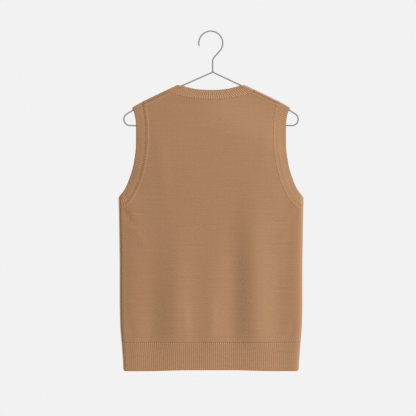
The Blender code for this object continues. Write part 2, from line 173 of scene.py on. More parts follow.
def fold_offset(x, drop, side):
    """How far the hanging folds push the cloth along Y."""
    total = 0
    for fold_side, x_high, x_low, spread, height, start in FOLDS:
        at = x_high + (x_low - x_high) * (drop - FOLD_HIGH) / (FOLD_LOW - FOLD_HIGH)
        held = HEM_HOLDS * smoothstep((drop - HEM_TOP + FOLD_END) / (2 * FOLD_END))
        strength = smoothstep((drop - start) / FOLD_GROWTH) * (1 - held)
        total = total + (side == fold_side) * height * strength * np.exp(-(((x - at) / spread) ** 2))
    total = total * (1 - smoothstep((np.abs(x) - FOLDS_TO) / FOLDS_FADE))
    in_from_edge = half_width(drop) - np.abs(x)
    rolled = smoothstep((drop - ROLL_START) / ROLL_GROWTH) * smoothstep(in_from_edge / ROLL_EDGE)
    for roll_side, end, crest, spread, height in SIDE_ROLLS:
        here = (side == roll_side) * (np.sign(x) == end)
        total = total + here * height * rolled * np.exp(-(((in_from_edge - crest) / spread) ** 2))
    return side * total


def unit(vectors):
    return vectors / np.linalg.norm(vectors, axis=-1, keepdims=True)


def cloth(x, drop, side, step=0.05):
    """Points in the middle of the cloth and their outward directions."""
    depth = half_depth_squared(x, drop)
    grad_x = (half_depth_squared(x + step, drop) - half_depth_squared(x - step, drop)) / (2 * step)
    grad_d = (half_depth_squared(x, drop + step) - half_depth_squared(x, drop - step)) / (2 * step)
    fold_x = (fold_offset(x + step, drop, side) - fold_offset(x - step, drop, side)) / (2 * step)
    fold_d = (fold_offset(x, drop + step, side) - fold_offset(x, drop - step, side)) / (2 * step)
    rise = side * np.sqrt(np.maximum(depth, 0))
    out = np.stack([-2 * rise * fold_x - grad_x, 2 * rise, 2 * rise * fold_d + grad_d], axis=-1)
    place = (x + 0 * rise, rise + fold_offset(x, drop, side), -drop + 0 * rise)
    return np.stack(place, axis=-1), unit(out)


def from_run(x, run):
    """Drop and side of cloth that lies run mm past the shoulder's top line, negative down the back."""
    length = np.abs(run)
    on_fold = fold_start(x) - RIDGE_R / ridge_lean(x) * np.cos(np.minimum(length / RIDGE_R, np.pi / 2))
    hanging = fold_start(x) + length - QUARTER
    return np.where(length < QUARTER, on_fold, hanging), np.where(run < 0, -1, 1)


def to_run(x, drop, side):
    return side * (QUARTER + drop - fold_start(x))


print("cloth depth at the hem in mm:", round(2 * float(np.sqrt(half_depth_squared(0, 800))), 1))

# %% [markdown]
# ## Seams and edges
# A pattern cutter draws the armhole and the neck as a few points and a smooth line through them. Each row
# here is a rib of the band that is sewn round the opening: where its free edge is, and where its seam is.
# The V of the front neck is mitred: its ribs stay square to the edge and run into the middle line.

# %% Lines of the armhole and neck bands, in millimetres
ARMHOLE = (             # edge x, edge drop, seam x, seam drop
    (188.2, 190.5, 164.9, 177.5),
    (184.6, 202, 162.2, 193),
    (182.2, 215, 160, 208),
    (181.3, 234, 158.3, 227),
    (181.2, 258, 158, 252),
    (181.8, 286, 159.4, 284),
    (184.4, 306, 162.5, 309.5),
    (189.4, 332, 168.4, 339),
    (196.2, 353, 176, 363),
    (204.6, 374, 186.5, 386.5),
    (213.2, 388.7, 198, 405.5),
    (218.6, 394.8, 208.5, 416),
)
UNDERARM_EDGE, UNDERARM_SEAM = 400.5, 422.3
ARM_EDGE_TOP, ARM_SEAM_TOP = 190.7, 166.3
ARM_EDGE_FOLD, ARM_SEAM_FOLD = 189.9, 165.4
NECK_SEAM_TOP, NECK_SEAM_FOLD = 105.5, 102
SHOULDER_SEAM = 7.2     # the front wraps over the shoulder this far down the back
BACK_NECK = (           # seam x, seam drop, edge x, edge drop
    (0, 163.4, 0, 140.8),
    (14, 163.1, 9.6, 140.7),
    (28, 162.3, 19.2, 140.2),
    (42, 161, 28.8, 139.4),
    (56, 158.9, 39, 138.1),
    (70, 156.2, 50.5, 135.8),
    (82, 153.2, 60.5, 133),
    (92, 149.3, 67, 131.2),
)
BACK_EDGE_FOLD, FRONT_EDGE_FOLD = 74.3, 78.9
NECK_CORNER_IN, NECK_CORNER_DROP = 3.1, 130.1    # where the back's edge leaves the shoulder fold
V_EDGE_DROP, V_SEAM_DROP = 318, 365
V_EDGE_CURVE, V_SEAM_CURVE = 1.25, 1.15
V_TURN = 0.22           # share of the V over which its ribs turn square to the shoulder


# %% Smooth curves through the rows
def soft_curve(rows, count):
    """Points on a smooth curve through the given rows."""
    rows = np.array(rows, float)
    gaps = np.linalg.norm(np.diff(rows, axis=0), axis=1)
    knots = np.concatenate([[0], np.cumsum(gaps)])
    rate = np.diff(rows, axis=0) / gaps[:, None]
    inner = rate[:-1] * gaps[1:, None] + rate[1:] * gaps[:-1, None]
    slope = np.vstack([rate[:1], inner / (gaps[1:] + gaps[:-1])[:, None], rate[-1:]])
    at = np.linspace(0, knots[-1], count)
    k = np.clip(np.searchsorted(knots, at, side="right") - 1, 0, len(gaps) - 1)
    t = ((at - knots[k]) / gaps[k])[:, None]
    gap = gaps[k][:, None]
    start = (1 + 2 * t) * (1 - t) ** 2 * rows[k] + t * (1 - t) ** 2 * gap * slope[k]
    return start + t * t * (3 - 2 * t) * rows[k + 1] + t * t * (t - 1) * gap * slope[k + 1]


def fold_rows(edge_top, edge_front, edge_back, seam_top, seam_fold):
    """A band's rows over the shoulder, from front to back: edge x, edge run, seam x, seam run."""
    rows = []
    for angle in np.radians((90, 50, 0, -50, -90)):
        share = np.cos(angle)
        edge_fold = edge_front if angle > 0 else edge_back
        edge_x = edge_fold + (edge_top - edge_fold) * share
        seam_x = seam_fold + (seam_top - seam_fold) * share
        rows.append((edge_x, RIDGE_R * angle, seam_x, RIDGE_R * angle))
    return rows


def armhole_line():
    """The right armhole from the shoulder's top down the back to the underarm."""
    rows = fold_rows(ARM_EDGE_TOP, ARM_EDGE_FOLD, ARM_EDGE_FOLD, ARM_SEAM_TOP, ARM_SEAM_FOLD)
    edge_end, seam_end = float(half_width(UNDERARM_EDGE)), float(half_width(UNDERARM_SEAM))
    last = (edge_end, UNDERARM_EDGE, seam_end, UNDERARM_SEAM)
    for edge_x, edge_drop, seam_x, seam_drop in ARMHOLE + (last,):
        rows.append((edge_x, to_run(edge_x, edge_drop, -1), seam_x, to_run(seam_x, seam_drop, -1)))
    line = soft_curve(rows, 3000)
    line = line[line[:, 1] <= 0]
    line[0, (1, 3)] = 0
    return line


def v_line():
    """The right front of the neckband, from the bottom of the V up to the shoulder."""
    seam_top, edge_top = fold_start(NECK_SEAM_FOLD), fold_start(FRONT_EDGE_FOLD)
    t = np.linspace(0.998, 0, 900)
    seam_x = NECK_SEAM_FOLD * (1 - t**V_SEAM_CURVE)
    seam = np.stack([seam_x, seam_top + (V_SEAM_DROP - seam_top) * t], axis=1)
    along = np.gradient(seam, axis=0)
    square = unit(np.stack([along[:, 1], -along[:, 0]], axis=1))
    shoulder = np.array((FRONT_EDGE_FOLD - NECK_SEAM_FOLD, edge_top - seam_top))
    turn = smoothstep(t / V_TURN)[:, None]
    towards = unit(square * turn + shoulder / np.linalg.norm(shoulder) * (1 - turn))
    reach = np.arange(0.2, 60, 0.05)
    tried = seam[:, None, :] + towards[:, None, :] * reach[None, :, None]
    share = np.clip((tried[..., 1] - edge_top) / (V_EDGE_DROP - edge_top), 0, 1)
    edge_x = FRONT_EDGE_FOLD * (1 - share**V_EDGE_CURVE)
    edge = tried[np.arange(len(t)), (tried[..., 0] <= np.maximum(edge_x, 0.1)).argmax(axis=1)]
    edge_run = to_run(edge[:, 0], edge[:, 1], 1)
    return np.stack([edge[:, 0], edge_run, seam[:, 0], to_run(seam[:, 0], seam[:, 1], 1)], axis=1)


def neck_line():
    """The right half of the neckband from the bottom of the V to the middle of the back."""
    rows = fold_rows(NECK_X, FRONT_EDGE_FOLD, BACK_EDGE_FOLD, NECK_SEAM_TOP, NECK_SEAM_FOLD)
    corner_x = BACK_EDGE_FOLD - NECK_CORNER_IN
    seam_run = to_run(NECK_SEAM_FOLD, ridge(NECK_SEAM_FOLD) + SHOULDER_SEAM, -1)
    rows.append((corner_x, to_run(corner_x, NECK_CORNER_DROP, -1), NECK_SEAM_FOLD, seam_run))
    for seam_x, seam_drop, edge_x, edge_drop in BACK_NECK[::-1]:
        rows.append((edge_x, to_run(edge_x, edge_drop, -1), seam_x, to_run(seam_x, seam_drop, -1)))
    return np.concatenate([v_line()[:-1], soft_curve(rows, 1600)])


ARM_LINE, NECK_LINE = armhole_line(), neck_line()
print("armhole line rows:", len(ARM_LINE), "neck line rows:", len(NECK_LINE))


# %% [markdown]
# ## From stations to closed cloth
# Cloth has two faces and a thin rim. Solidify could thicken a surface, but ribs, seams and thin rims need
# their own height and thickness at each point. So a piece starts as grids of stations, each with its place,
# its relief, its half thickness, where it lies in the knitting (u across, v along) and its painted shade
# and
# highlight: darker where it sits deep between its neighbours. One function then makes both faces and closes
# the rim.

# %% Closed cloth from grids of stations
def lengths(points, axis=0, plane=slice(None)):
    """Length along a line, or a grid's rows or columns, counting only the given coordinates."""
    steps = np.linalg.norm(np.diff(points[..., plane], axis=axis), axis=-1)
    start = np.zeros_like(np.take(steps, [0], axis=axis))
    return np.concatenate([start, np.cumsum(steps, axis=axis)], axis=axis)


def facing_quads(patches, points, normals):
    """Quads between neighbouring stations, each patch turned to face outwards."""
    found, start = [], 0
    for patch in patches:
        rows, columns = patch["x"].shape
        number = start + np.arange(rows * columns).reshape(rows, columns)
        quads = np.stack([number[:-1, :-1], number[:-1, 1:], number[1:, 1:], number[1:, :-1]], axis=-1)
        quads = quads.reshape(-1, 4)
        across = points[quads[:, 2]] - points[quads[:, 0]]
        facing = np.cross(across, points[quads[:, 3]] - points[quads[:, 1]])
        if np.median(np.einsum("ij,ij->i", facing, normals[quads[:, 0]])) < 0:
            quads = quads[:, ::-1]
        found.append(quads)
        start += rows * columns
    return np.concatenate(found)


def add_mesh(name, points, faces, uv_name, uv, materials):
    """A smooth mesh object, in metres, with a map coordinate for each corner of its faces."""
    mesh = bpy.data.meshes.new(name)
    mesh.from_pydata(points * MM, [], faces)
    layer = mesh.uv_layers.new(name=uv_name)
    layer.uv.foreach_set("vector", (uv * MM).astype(np.float32).ravel())
    for material in materials:
        mesh.materials.append(material)
    mesh.shade_smooth()
    piece = bpy.data.objects.new(name, mesh)
    bpy.context.scene.collection.objects.link(piece)
    return piece


def tube_quads(rings, sides):
    """Quads of a closed loop of rings, as rings by sides by corners."""
    number = np.arange(rings * sides).reshape(rings, sides)
    after, beside = np.roll(number, -1, axis=0), np.roll(number, -1, axis=1)
    return np.stack([number, after, np.roll(after, -1, axis=1), beside], axis=-1)


def set_painted_shading(mesh, values):
    """Painted shade and highlight at each point: darker where the yarn lies deep, lighter where it stands
    out, and paler over the bands.
    """
    depth = mesh.attributes.new("depth", "FLOAT", "POINT")
    depth.data.foreach_set("value", values.astype(np.float32))


def cloth_piece(name, patches, outer, inner):
    """One closed sheet from patches that share their borders."""
    flat = {key: np.concatenate([patch[key].ravel() for patch in patches]) for key in patches[0]}
    points, normals = cloth(flat["x"], flat["drop"], flat["side"])
    _, first, welded = np.unique(np.round(points, 3), axis=0, return_index=True, return_inverse=True)
    welded = welded.reshape(-1)
    count = len(first)
    quads = facing_quads(patches, points, normals)
    shared = welded[quads]
    starts, ends = shared.ravel(), np.roll(shared, -1, axis=1).ravel()
    on_rim = ~np.isin(starts * count + ends, ends * count + starts)
    own_starts, own_ends = quads.ravel()[on_rim], np.roll(quads, -1, axis=1).ravel()[on_rim]
    starts, ends = starts[on_rim], ends[on_rim]
    walls = np.stack([ends, starts, starts + count, ends + count], axis=1)
    faces = np.concatenate([shared, shared[:, ::-1] + count, walls])
    own_walls = np.stack([own_ends, own_starts, own_starts, own_ends], axis=1)
    corners = np.concatenate([quads, quads[:, ::-1], own_walls])
    middle = points[first] + normals[first] * flat["relief"][first][:, None]
    half = normals[first] * flat["half"][first][:, None]
    knit_at = np.stack([flat["u"], flat["v"]], axis=1)[corners.ravel()]
    both_faces = np.concatenate([middle + half, middle - half])
    piece = add_mesh(name, both_faces, faces, "knit", knit_at, (outer, inner))
    set_painted_shading(piece.data, np.tile(flat["depth"][first], 2))
    which = np.zeros(len(faces), np.int32)
    which[len(shared):2 * len(shared)] = 1
    piece.data.polygons.foreach_set("material_index", which)
    piece.data.polygons.foreach_set("use_smooth", np.arange(len(faces)) < 2 * len(shared))
    piece.data.update()
    print(name, "triangles:", 2 * len(faces))
    return piece


def nearest(points, line):
    """Distance from each point to a line of close points."""
    tree = kdtree.KDTree(len(line))
    for number, place in enumerate(line):
        tree.insert(place, number)
    tree.balance()
    return np.array([tree.find(place)[2] for place in points.reshape(-1, 3)]).reshape(points.shape[:-1])


# %% [markdown]
# ## Colour and nodes
# Colours are written as they look on a screen and turned to linear light by one function, because shaders
# mix light, not screen values. One small function adds a node, sets it and links it. Its kind is named
# without the ShaderNode that all of them start with.

# %% Helpers for materials
def linear(hex_colour):
    values = [int(hex_colour[k:k + 2], 16) / 255 for k in (1, 3, 5)]
    return tuple(c / 12.92 if c <= 0.04045 else ((c + 0.055) / 1.055) ** 2.4 for c in values) + (1,)


def join(tree, node, links):
    """Links inputs, by name, each to a node's first output or to the output given."""
    for key, source in dict(links).items():
        output = source.outputs[0] if isinstance(source, bpy.types.Node) else source
        tree.links.new(output, node.inputs[key])


def add(tree, kind, settings=(), links=()):
    """Adds a node: settings are properties or input values, links are sources for its inputs."""
    node = tree.nodes.new("ShaderNode" + kind)
    for key, value in dict(settings).items():
        if isinstance(key, str) and hasattr(node, key):
            setattr(node, key, value)
        else:
            node.inputs[key].default_value = value
    join(tree, node, links)
    return node


def new_material(name, settings):
    """A material with one Principled shader, whose even values are set on its own sockets."""
    material = bpy.data.materials.new(name)
    material.use_nodes = True
    shader = material.node_tree.nodes["Principled BSDF"]
    for key, value in settings.items():
        shader.inputs[key].default_value = value
    return material, material.node_tree, shader


# %% [markdown]
# ## Wool, knitted plain
# The yarn is carded wool, spun soft and knitted in stocking stitch. Its outside shows columns of small Vs:
# each V is one stitch, whose two legs lean outwards. Wool scatters light within its fuzz, so it is matt,
# with a faint sheen at grazing angles, and its dye takes unevenly, which gives a slight heather.
# The real stitch is about 2.4 mm wide and 1.9 mm high. That is too fine to show from a few metres away, so
# it is drawn at 5.8 mm, where its legs still read as the slanting hatch that plain knitting has.

# %% The stitch pattern
RIB_PITCH = 4.85 * MM
WALE, COURSE = 5.8 * MM, 6 * MM
WANDER = 0.8 * MM       # how far stitches stray from an even grid
LEG_LEAN = 1.9          # courses that a V's leg would climb over the whole width of a stitch
HEATHER_SCALE, FUZZ_SCALE = 46, 900     # per metre: dye patches of about 22 mm, and hairs of about 1 mm
TENSION_SCALE = (9, 330, 1)             # per metre: uneven rows about 3 mm high and 110 mm long
# The darkest yarn colour is painted shade, for the stitches' hollows and for yarn that lies deep.
YARN_OLIVE, YARN_PINK, YARN_IN_SHADE = linear("#B89268"), linear("#C39070"), linear("#76573E")
WOOL = {"Roughness": 0.92, "Sheen Weight": 0.22, "Sheen Roughness": 0.55, "Specular IOR Level": 0.18}
WOOL["Sheen Tint"] = linear("#E8D2B8")


def knit_coordinates(tree, wale, course):
    """Stitch counts across and along, slightly uneven as hand-steamed knitting is."""
    knit = add(tree, "UVMap", {"uv_map": "knit"})
    wander = add(tree, "TexNoise", {"Scale": 90, "Detail": 2}, {"Vector": knit})
    centred = add(tree, "VectorMath", {"operation": "SUBTRACT", 1: (0.5, 0.5, 0.5)},
                  {0: wander.outputs["Color"]})
    shift = add(tree, "VectorMath", {"operation": "MULTIPLY", 1: (WANDER, WANDER, 0)}, {0: centred})
    moved = add(tree, "VectorMath", {"operation": "ADD"}, {0: knit, 1: shift})
    counts = add(tree, "VectorMath", {"operation": "DIVIDE", 1: (wale, course, 1)}, {0: moved})
    split = add(tree, "SeparateXYZ", links={0: counts})
    return knit, split.outputs["X"], split.outputs["Y"]


def stocking_stitch(tree, across, along):
    """Height of a knit V: 0 between the legs, 1 on top of a leg."""
    place = add(tree, "Math", {"operation": "FRACT"}, {0: across})
    from_middle = add(tree, "Math", {"operation": "SUBTRACT", 1: 0.5}, {0: place})
    leg = add(tree, "Math", {"operation": "ABSOLUTE"}, {0: from_middle})
    lean = add(tree, "Math", {"operation": "MULTIPLY_ADD", 1: -LEG_LEAN}, {0: leg, 2: along})
    turn = add(tree, "Math", {"operation": "MULTIPLY", 1: 2 * np.pi}, {0: lean})
    wave = add(tree, "Math", {"operation": "COSINE"}, {0: turn})
    loop = add(tree, "Math", {"operation": "MULTIPLY_ADD", 1: 0.5, 2: 0.5}, {0: wave})
    width = add(tree, "Math", {"operation": "MULTIPLY", 1: 4 * np.pi}, {0: leg})
    round_leg = add(tree, "Math", {"operation": "COSINE"}, {0: width})
    body = add(tree, "Math", {"operation": "MULTIPLY_ADD", 1: -0.12, 2: 0.88}, {0: round_leg})
    return add(tree, "Math", {"operation": "MULTIPLY"}, {0: loop, 1: body})


def finish_wool(tree, shader, knit, height, shown, bump_height):
    """Yarn colour from heather and fuzz, with painted shade from the stitch's height and from how deep it
    lies; then the bump.
    """
    heather = add(tree, "TexNoise", {"Scale": HEATHER_SCALE, "Detail": 3, "Roughness": 0.6},
                  {"Vector": knit})
    warm = add(tree, "Mix", {"data_type": "RGBA", "A": YARN_OLIVE, "B": YARN_PINK}, {"Factor": heather})
    fuzz = add(tree, "TexNoise", {"Scale": FUZZ_SCALE, "Detail": 4, "Roughness": 0.7}, {"Vector": knit})
    row = add(tree, "VectorMath", {"operation": "MULTIPLY", 1: TENSION_SCALE}, {0: knit})
    tension = add(tree, "TexNoise", {"Scale": 1, "Detail": 1}, {"Vector": row})
    painted_shading = add(tree, "Attribute", {"attribute_name": "depth"})
    # Painted shade: the colour runs from the yarn in shade to the warm yarn as the stitch rises, and is
    # darkened where the yarn lies deep.
    base = 0.34 - 0.325 * shown
    lit = add(tree, "Math", {"operation": "MULTIPLY_ADD", 1: shown, 2: base}, {0: height})
    for effect, strength in ((fuzz, 0.3), (tension, 0.16), (painted_shading.outputs["Fac"], -0.4)):
        lit = add(tree, "Math", {"operation": "MULTIPLY_ADD", 1: strength}, {0: effect, 2: lit})
    colour = add(tree, "Mix", {"data_type": "RGBA", "A": YARN_IN_SHADE},
                 {"Factor": lit, "B": warm.outputs["Result"]})
    rough = add(tree, "MapRange", {"To Min": 0.84, "To Max": 0.98}, {"Value": fuzz})
    hairs = add(tree, "Math", {"operation": "MULTIPLY_ADD", 1: 0.35}, {0: fuzz, 2: height})
    bump = add(tree, "Bump", {"Strength": 0.8, "Distance": bump_height}, {"Height": hairs})
    join(tree, shader, {"Base Color": colour.outputs["Result"], "Roughness": rough, "Normal": bump})


def right_side(name, wale, shown, bump_height):
    """Knitting seen from outside: columns of Vs."""
    material, tree, shader = new_material(name, WOOL)
    knit, across, along = knit_coordinates(tree, wale, COURSE)
    finish_wool(tree, shader, knit, stocking_stitch(tree, across, along), shown, bump_height)
    return material


JERSEY = right_side("wool_stocking_stitch", WALE, shown=0.28, bump_height=0.32 * MM)
print("material:", JERSEY.name, "nodes:", len(JERSEY.node_tree.nodes))


# %% [markdown]
# ## The wrong side, and the rib
# Inside the vest the same stitches show as purl: rows of small interlocked arcs. On the rib the shape of
# the columns is real geometry, and the material adds the stitches that climb each column and painted shade
# in its grooves.

# %% Purl side and ribbed knit
def wrong_side(name, shown, bump_height):
    """Stocking stitch seen from inside: rows of arcs."""
    material, tree, shader = new_material(name, WOOL)
    knit, across, along = knit_coordinates(tree, WALE, COURSE)
    turn = add(tree, "Math", {"operation": "MULTIPLY", 1: 2 * np.pi}, {0: across})
    arc = add(tree, "Math", {"operation": "SINE"}, {0: turn})
    row = add(tree, "Math", {"operation": "MULTIPLY_ADD", 1: 0.24}, {0: arc, 2: along})
    row = add(tree, "Math", {"operation": "MULTIPLY", 1: 2 * np.pi}, {0: row})
    wave = add(tree, "Math", {"operation": "COSINE"}, {0: row})
    height = add(tree, "Math", {"operation": "MULTIPLY_ADD", 1: 0.5, 2: 0.5}, {0: wave})
    finish_wool(tree, shader, knit, height, shown, bump_height)
    return material


PURL = wrong_side("wool_purl_side", shown=0.5, bump_height=0.9 * MM)
RIB = right_side("wool_one_by_one_rib", RIB_PITCH, shown=0.18, bump_height=0.25 * MM)
print("materials:", PURL.name, RIB.name)


# %% [markdown]
# ## Panels
# The back and front are plain knit. Their courses run level and their columns upright, whatever the
# armhole cuts away, so u and v are measured along the cloth. Close to a seam the cloth dips into it, and
# the seam allowance inside lifts a strip beside it, which ends in a faint step.

# %% Grids of the panels
PANEL_STEP, SEAM_STEP, SEAM_REACH = 3.3, 1, 14


def spread_steps(length, fine_start):
    """Places from 0 to length, close together near a seam and wider between."""
    fine = np.arange(0, SEAM_REACH, SEAM_STEP)
    start = fine if fine_start else np.zeros(1)
    wide_from = SEAM_REACH if fine_start else PANEL_STEP
    count = int(round((length - SEAM_REACH - wide_from) / PANEL_STEP)) + 1
    wide = np.linspace(wide_from, length - SEAM_REACH, count)
    return np.concatenate([start, wide, length - fine[::-1]])


def seam_of_armhole():
    """Drop and x of the armhole seam on the back or front, from the shoulder down to the underarm."""
    drop, _ = from_run(ARM_LINE[:, 2], ARM_LINE[:, 3])
    hanging = -ARM_LINE[:, 3] >= QUARTER
    return drop[hanging], ARM_LINE[hanging, 2]


SEAM_DROPS, SEAM_XS = seam_of_armhole()


def border_x(drop):
    """Half width of a panel: the armhole seam above the underarm and the side fold below it."""
    return np.where(drop < UNDERARM_SEAM, np.interp(drop, SEAM_DROPS, SEAM_XS), half_width(drop))


def back_top(x):
    """Drop of the back panel's top line: the neck seam, then the shoulder seam."""
    x = np.abs(x)
    hanging = NECK_LINE[NECK_LINE[:, 3] < -QUARTER]
    drops, _ = from_run(hanging[:, 2], hanging[:, 3])
    neck = np.interp(x, hanging[::-1, 2], drops[::-1])
    return np.where(x < NECK_SEAM_FOLD, neck, ridge(x) + SHOULDER_SEAM)


def front_top(x):
    """Drop of the front panel's top line: the V, then where the shoulder fold starts."""
    x = np.abs(x)
    top = fold_start(NECK_SEAM_FOLD)
    share = np.clip(1 - x / NECK_SEAM_FOLD, 0, 1) ** (1 / V_SEAM_CURVE)
    return np.where(x < NECK_SEAM_FOLD, top + (V_SEAM_DROP - top) * share, fold_start(x))


def panel_stations(top_line):
    """x and drop of a panel's grid: rows from the hem seam up, columns from left to right."""
    end_x = ARM_SEAM_FOLD
    end_drop = float(top_line(np.array(end_x)))
    drops = np.linspace(HEM_TOP, end_drop, 4000)
    border = np.stack([border_x(drops), drops], axis=1)
    length = lengths(border)
    rows = np.interp(spread_steps(length[-1], True), length, drops)
    wide = float(half_width(UNDERARM_SEAM))
    half = spread_steps(wide, False) / wide
    corner = np.argmin(np.abs(half - NECK_SEAM_FOLD / end_x))
    half[corner] = NECK_SEAM_FOLD / end_x
    share = np.concatenate([-half[:0:-1], half])
    share_up = np.maximum((UNDERARM_SEAM - rows) / (UNDERARM_SEAM - end_drop), 0)[:, None]
    x = share[None, :] * border_x(rows)[:, None]
    top = top_line(share * end_x)[None, :]
    return x, np.where(share_up > 0, UNDERARM_SEAM + (top - UNDERARM_SEAM) * share_up, rows[:, None])


print("panel grid:", panel_stations(back_top)[0].shape)


# %% [markdown]
# The folds give a panel its large shape. Smaller creases lie where this cloth is pulled or pushed: from
# the underarm towards the chest, beside the hanger's arms and above the hem's ends. Each is a soft trough
# or ridge with its own length and depth, and the front gets its own.

# %% Creases and seam relief
SEAM_DIP, SEAM_RIDGE = 1.7, 1.5         # how wide a seam's dip and its ridge are
STRIP_RISE, STRIP_FADE = 0.25, 3        # the allowance's lift, and the width over which it ends
CREASES = (             # side, x, drop, tilt in degrees from upright, half length, half width, height
    (-1, -196, 452, 38, 34, 9, -1.3),
    (-1, -180, 476, 24, 46, 12, 0.9),
    (-1, 197, 448, -36, 30, 9, -1.1),
    (-1, 183, 470, -22, 52, 12, 0.8),
    (-1, -118, 330, 6, 70, 16, 0.7),
    (-1, 126, 300, -5, 60, 15, 0.6),
    (-1, -60, 705, 3, 40, 9, 0.8),
    (-1, 4, 690, -2, 46, 10, 0.7),
    (-1, 196, 716, -12, 26, 8, -0.7),
    (-1, -192, 722, 10, 22, 8, -0.6),
    (1, -190, 455, 35, 36, 9, -1.2),
    (1, 193, 450, -37, 32, 9, -1.2),
    (1, -120, 320, 12, 64, 15, 0.8),
    (1, 118, 345, -14, 58, 14, 0.7),
    (1, 62, 700, -3, 42, 9, 0.8),
    (1, -8, 672, 2, 50, 10, -0.7),
)


def crease_relief(x, drop, side):
    total = np.zeros_like(x)
    for crease_side, at_x, at_drop, tilt, half_length, half_wide, height in CREASES:
        lean = np.radians(tilt)
        along = (drop - at_drop) * np.cos(lean) + (x - at_x) * np.sin(lean)
        across = (x - at_x) * np.cos(lean) - (drop - at_drop) * np.sin(lean)
        bump = height * np.exp(-((along / half_length) ** 2) - (across / half_wide) ** 2)
        total += np.where(side == crease_side, bump, 0)
    return total


def band_seam_points(line, sign, front):
    """Points along a band's seam on one side of the vest."""
    x, run = line[:, 2], line[:, 3] * (-1 if front else 1)
    drop, side = from_run(x, run)
    return cloth(sign * x, drop, side)[0]


def both(points):
    return np.concatenate([points, points * (-1, 1, 1)])


def seam_relief(points, line, ridge_at, ridge_height, groove):
    """Relief beside a linked seam, and shares of its dip and of its ridge."""
    away = nearest(points, line)
    dip = np.exp(-((away / SEAM_DIP) ** 2))
    ridge_line = np.exp(-(((away - ridge_at) / SEAM_RIDGE) ** 2))
    strip = STRIP_RISE * (1 - smoothstep((away - ridge_at) / STRIP_FADE)) * (1 - dip)
    return strip * (ridge_height > 0) + ridge_height * ridge_line - groove * dip, dip, ridge_line


def panel_patch(x, drop, side):
    """A patch of a panel with all its columns except the seam relief."""
    points, _ = cloth(x, drop, side)
    u = lengths(points, 1, (0, 1))
    u = u - u[:, u.shape[1] // 2, None]
    v = lengths(points, 0, (1, 2))
    relief = crease_relief(x, drop, side)
    return dict(x=x, drop=drop, side=side, u=u, v=v, relief=relief,
                half=np.full_like(x, JERSEY_T / 2), depth=np.zeros_like(x)), points


def add_relief(patch, points, seams):
    """Adds seams, with painted shade in a dip and a painted highlight on a raised ridge."""
    painted_highlight = np.zeros_like(patch["depth"])
    for line, ridge_at, ridge_height, groove, dark, light in seams:
        relief, dip, ridge_line = seam_relief(points, line, ridge_at, ridge_height, groove)
        patch["relief"] = patch["relief"] + relief
        patch["depth"] = np.maximum(patch["depth"], dark * dip)
        painted_highlight = np.maximum(painted_highlight, light * ridge_line)
    patch["depth"] = patch["depth"] - painted_highlight


# %% [markdown]
# The back stops at the shoulder seam, a little below the shoulder's edge. The front carries on over the
# shoulder to meet it there, as cloth does when the seam is set to the back.

# %% Seam lines and the two panels
def line_3d(x, drop, side):
    return cloth(x, drop, np.full_like(x, side))[0]


shoulder_x = np.linspace(NECK_SEAM_FOLD, ARM_SEAM_FOLD, 120)
side_drops = np.linspace(UNDERARM_SEAM, HEM_TOP, 400)
shoulder_line = both(line_3d(shoulder_x, ridge(shoulder_x) + SHOULDER_SEAM, -1))
side_line = both(line_3d(half_width(side_drops), side_drops, 1))
neck_hanging = NECK_LINE[NECK_LINE[:, 3] < -QUARTER]
neck_back_line = both(band_seam_points(neck_hanging, 1, False))
neck_front_line = both(band_seam_points(NECK_LINE[NECK_LINE[:, 3] > -QUARTER], 1, False))
arm_back_line = both(band_seam_points(ARM_LINE, 1, False))
arm_front_line = both(band_seam_points(ARM_LINE, 1, True))
arm_fold_line = both(band_seam_points(ARM_LINE[ARM_LINE[:, 3] > -12], 1, False))

# line, where its ridge lies, the ridge's height, depth of the dip, painted shade in the dip,
# painted highlight on the ridge
BACK_SEAMS = (
    (arm_back_line, 6, 0.3, 0.12, 0.12, 0.35),
    (neck_back_line, 3.2, 0, 0.5, 0.6, 0),
    (shoulder_line, 4.2, 0.3, 0.4, 0.6, 0.45),
    (side_line, 4, 0.1, 0.3, 0.3, 0),
)
FRONT_SEAMS = (
    (arm_front_line, 6, 0.3, 0.12, 0.12, 0.35),
    (neck_front_line, 3.2, 0, 0.5, 0.6, 0),
    (side_line, 4, 0.1, 0.3, 0.3, 0),
)
WRAP_SEAMS = (
    (shoulder_line, 2.6, 0, 0.35, 0.5, 0),
    (arm_fold_line, 6, 0.2, 0.15, 0.25, 0.3),
    (neck_front_line, 3.2, 0, 0.15, 0.5, 0),
)


def make_back_panel():
    x, drop = panel_stations(back_top)
    patch, points = panel_patch(x, drop, np.full_like(x, -1))
    add_relief(patch, points, BACK_SEAMS)
    return cloth_piece("back_plain_knit", [patch], JERSEY, PURL)


def shoulder_patch(x_row, u_row, v_row, sign):
    """The front panel's strip over one shoulder, from the fold's start to the seam on the back."""
    share = (np.abs(x_row) - NECK_SEAM_FOLD) / (ARM_SEAM_FOLD - NECK_SEAM_FOLD)
    end_run = to_run(x_row, ridge(x_row) + SHOULDER_SEAM, -1)
    rows = np.linspace(0, 1, 17)[:, None]
    run = QUARTER + (end_run - QUARTER) * rows
    neck = np.interp(-run, -NECK_LINE[:, 3], NECK_LINE[:, 2])
    arm = np.interp(np.abs(run), -ARM_LINE[:, 3], ARM_LINE[:, 2])
    x = sign * (neck + (arm - neck) * share)
    drop, side = from_run(x, run)
    patch, points = panel_patch(x, drop, side)
    patch["u"] = np.broadcast_to(u_row, x.shape)
    patch["v"] = v_row + lengths(points, 0, (1, 2))
    add_relief(patch, points, WRAP_SEAMS)
    return patch


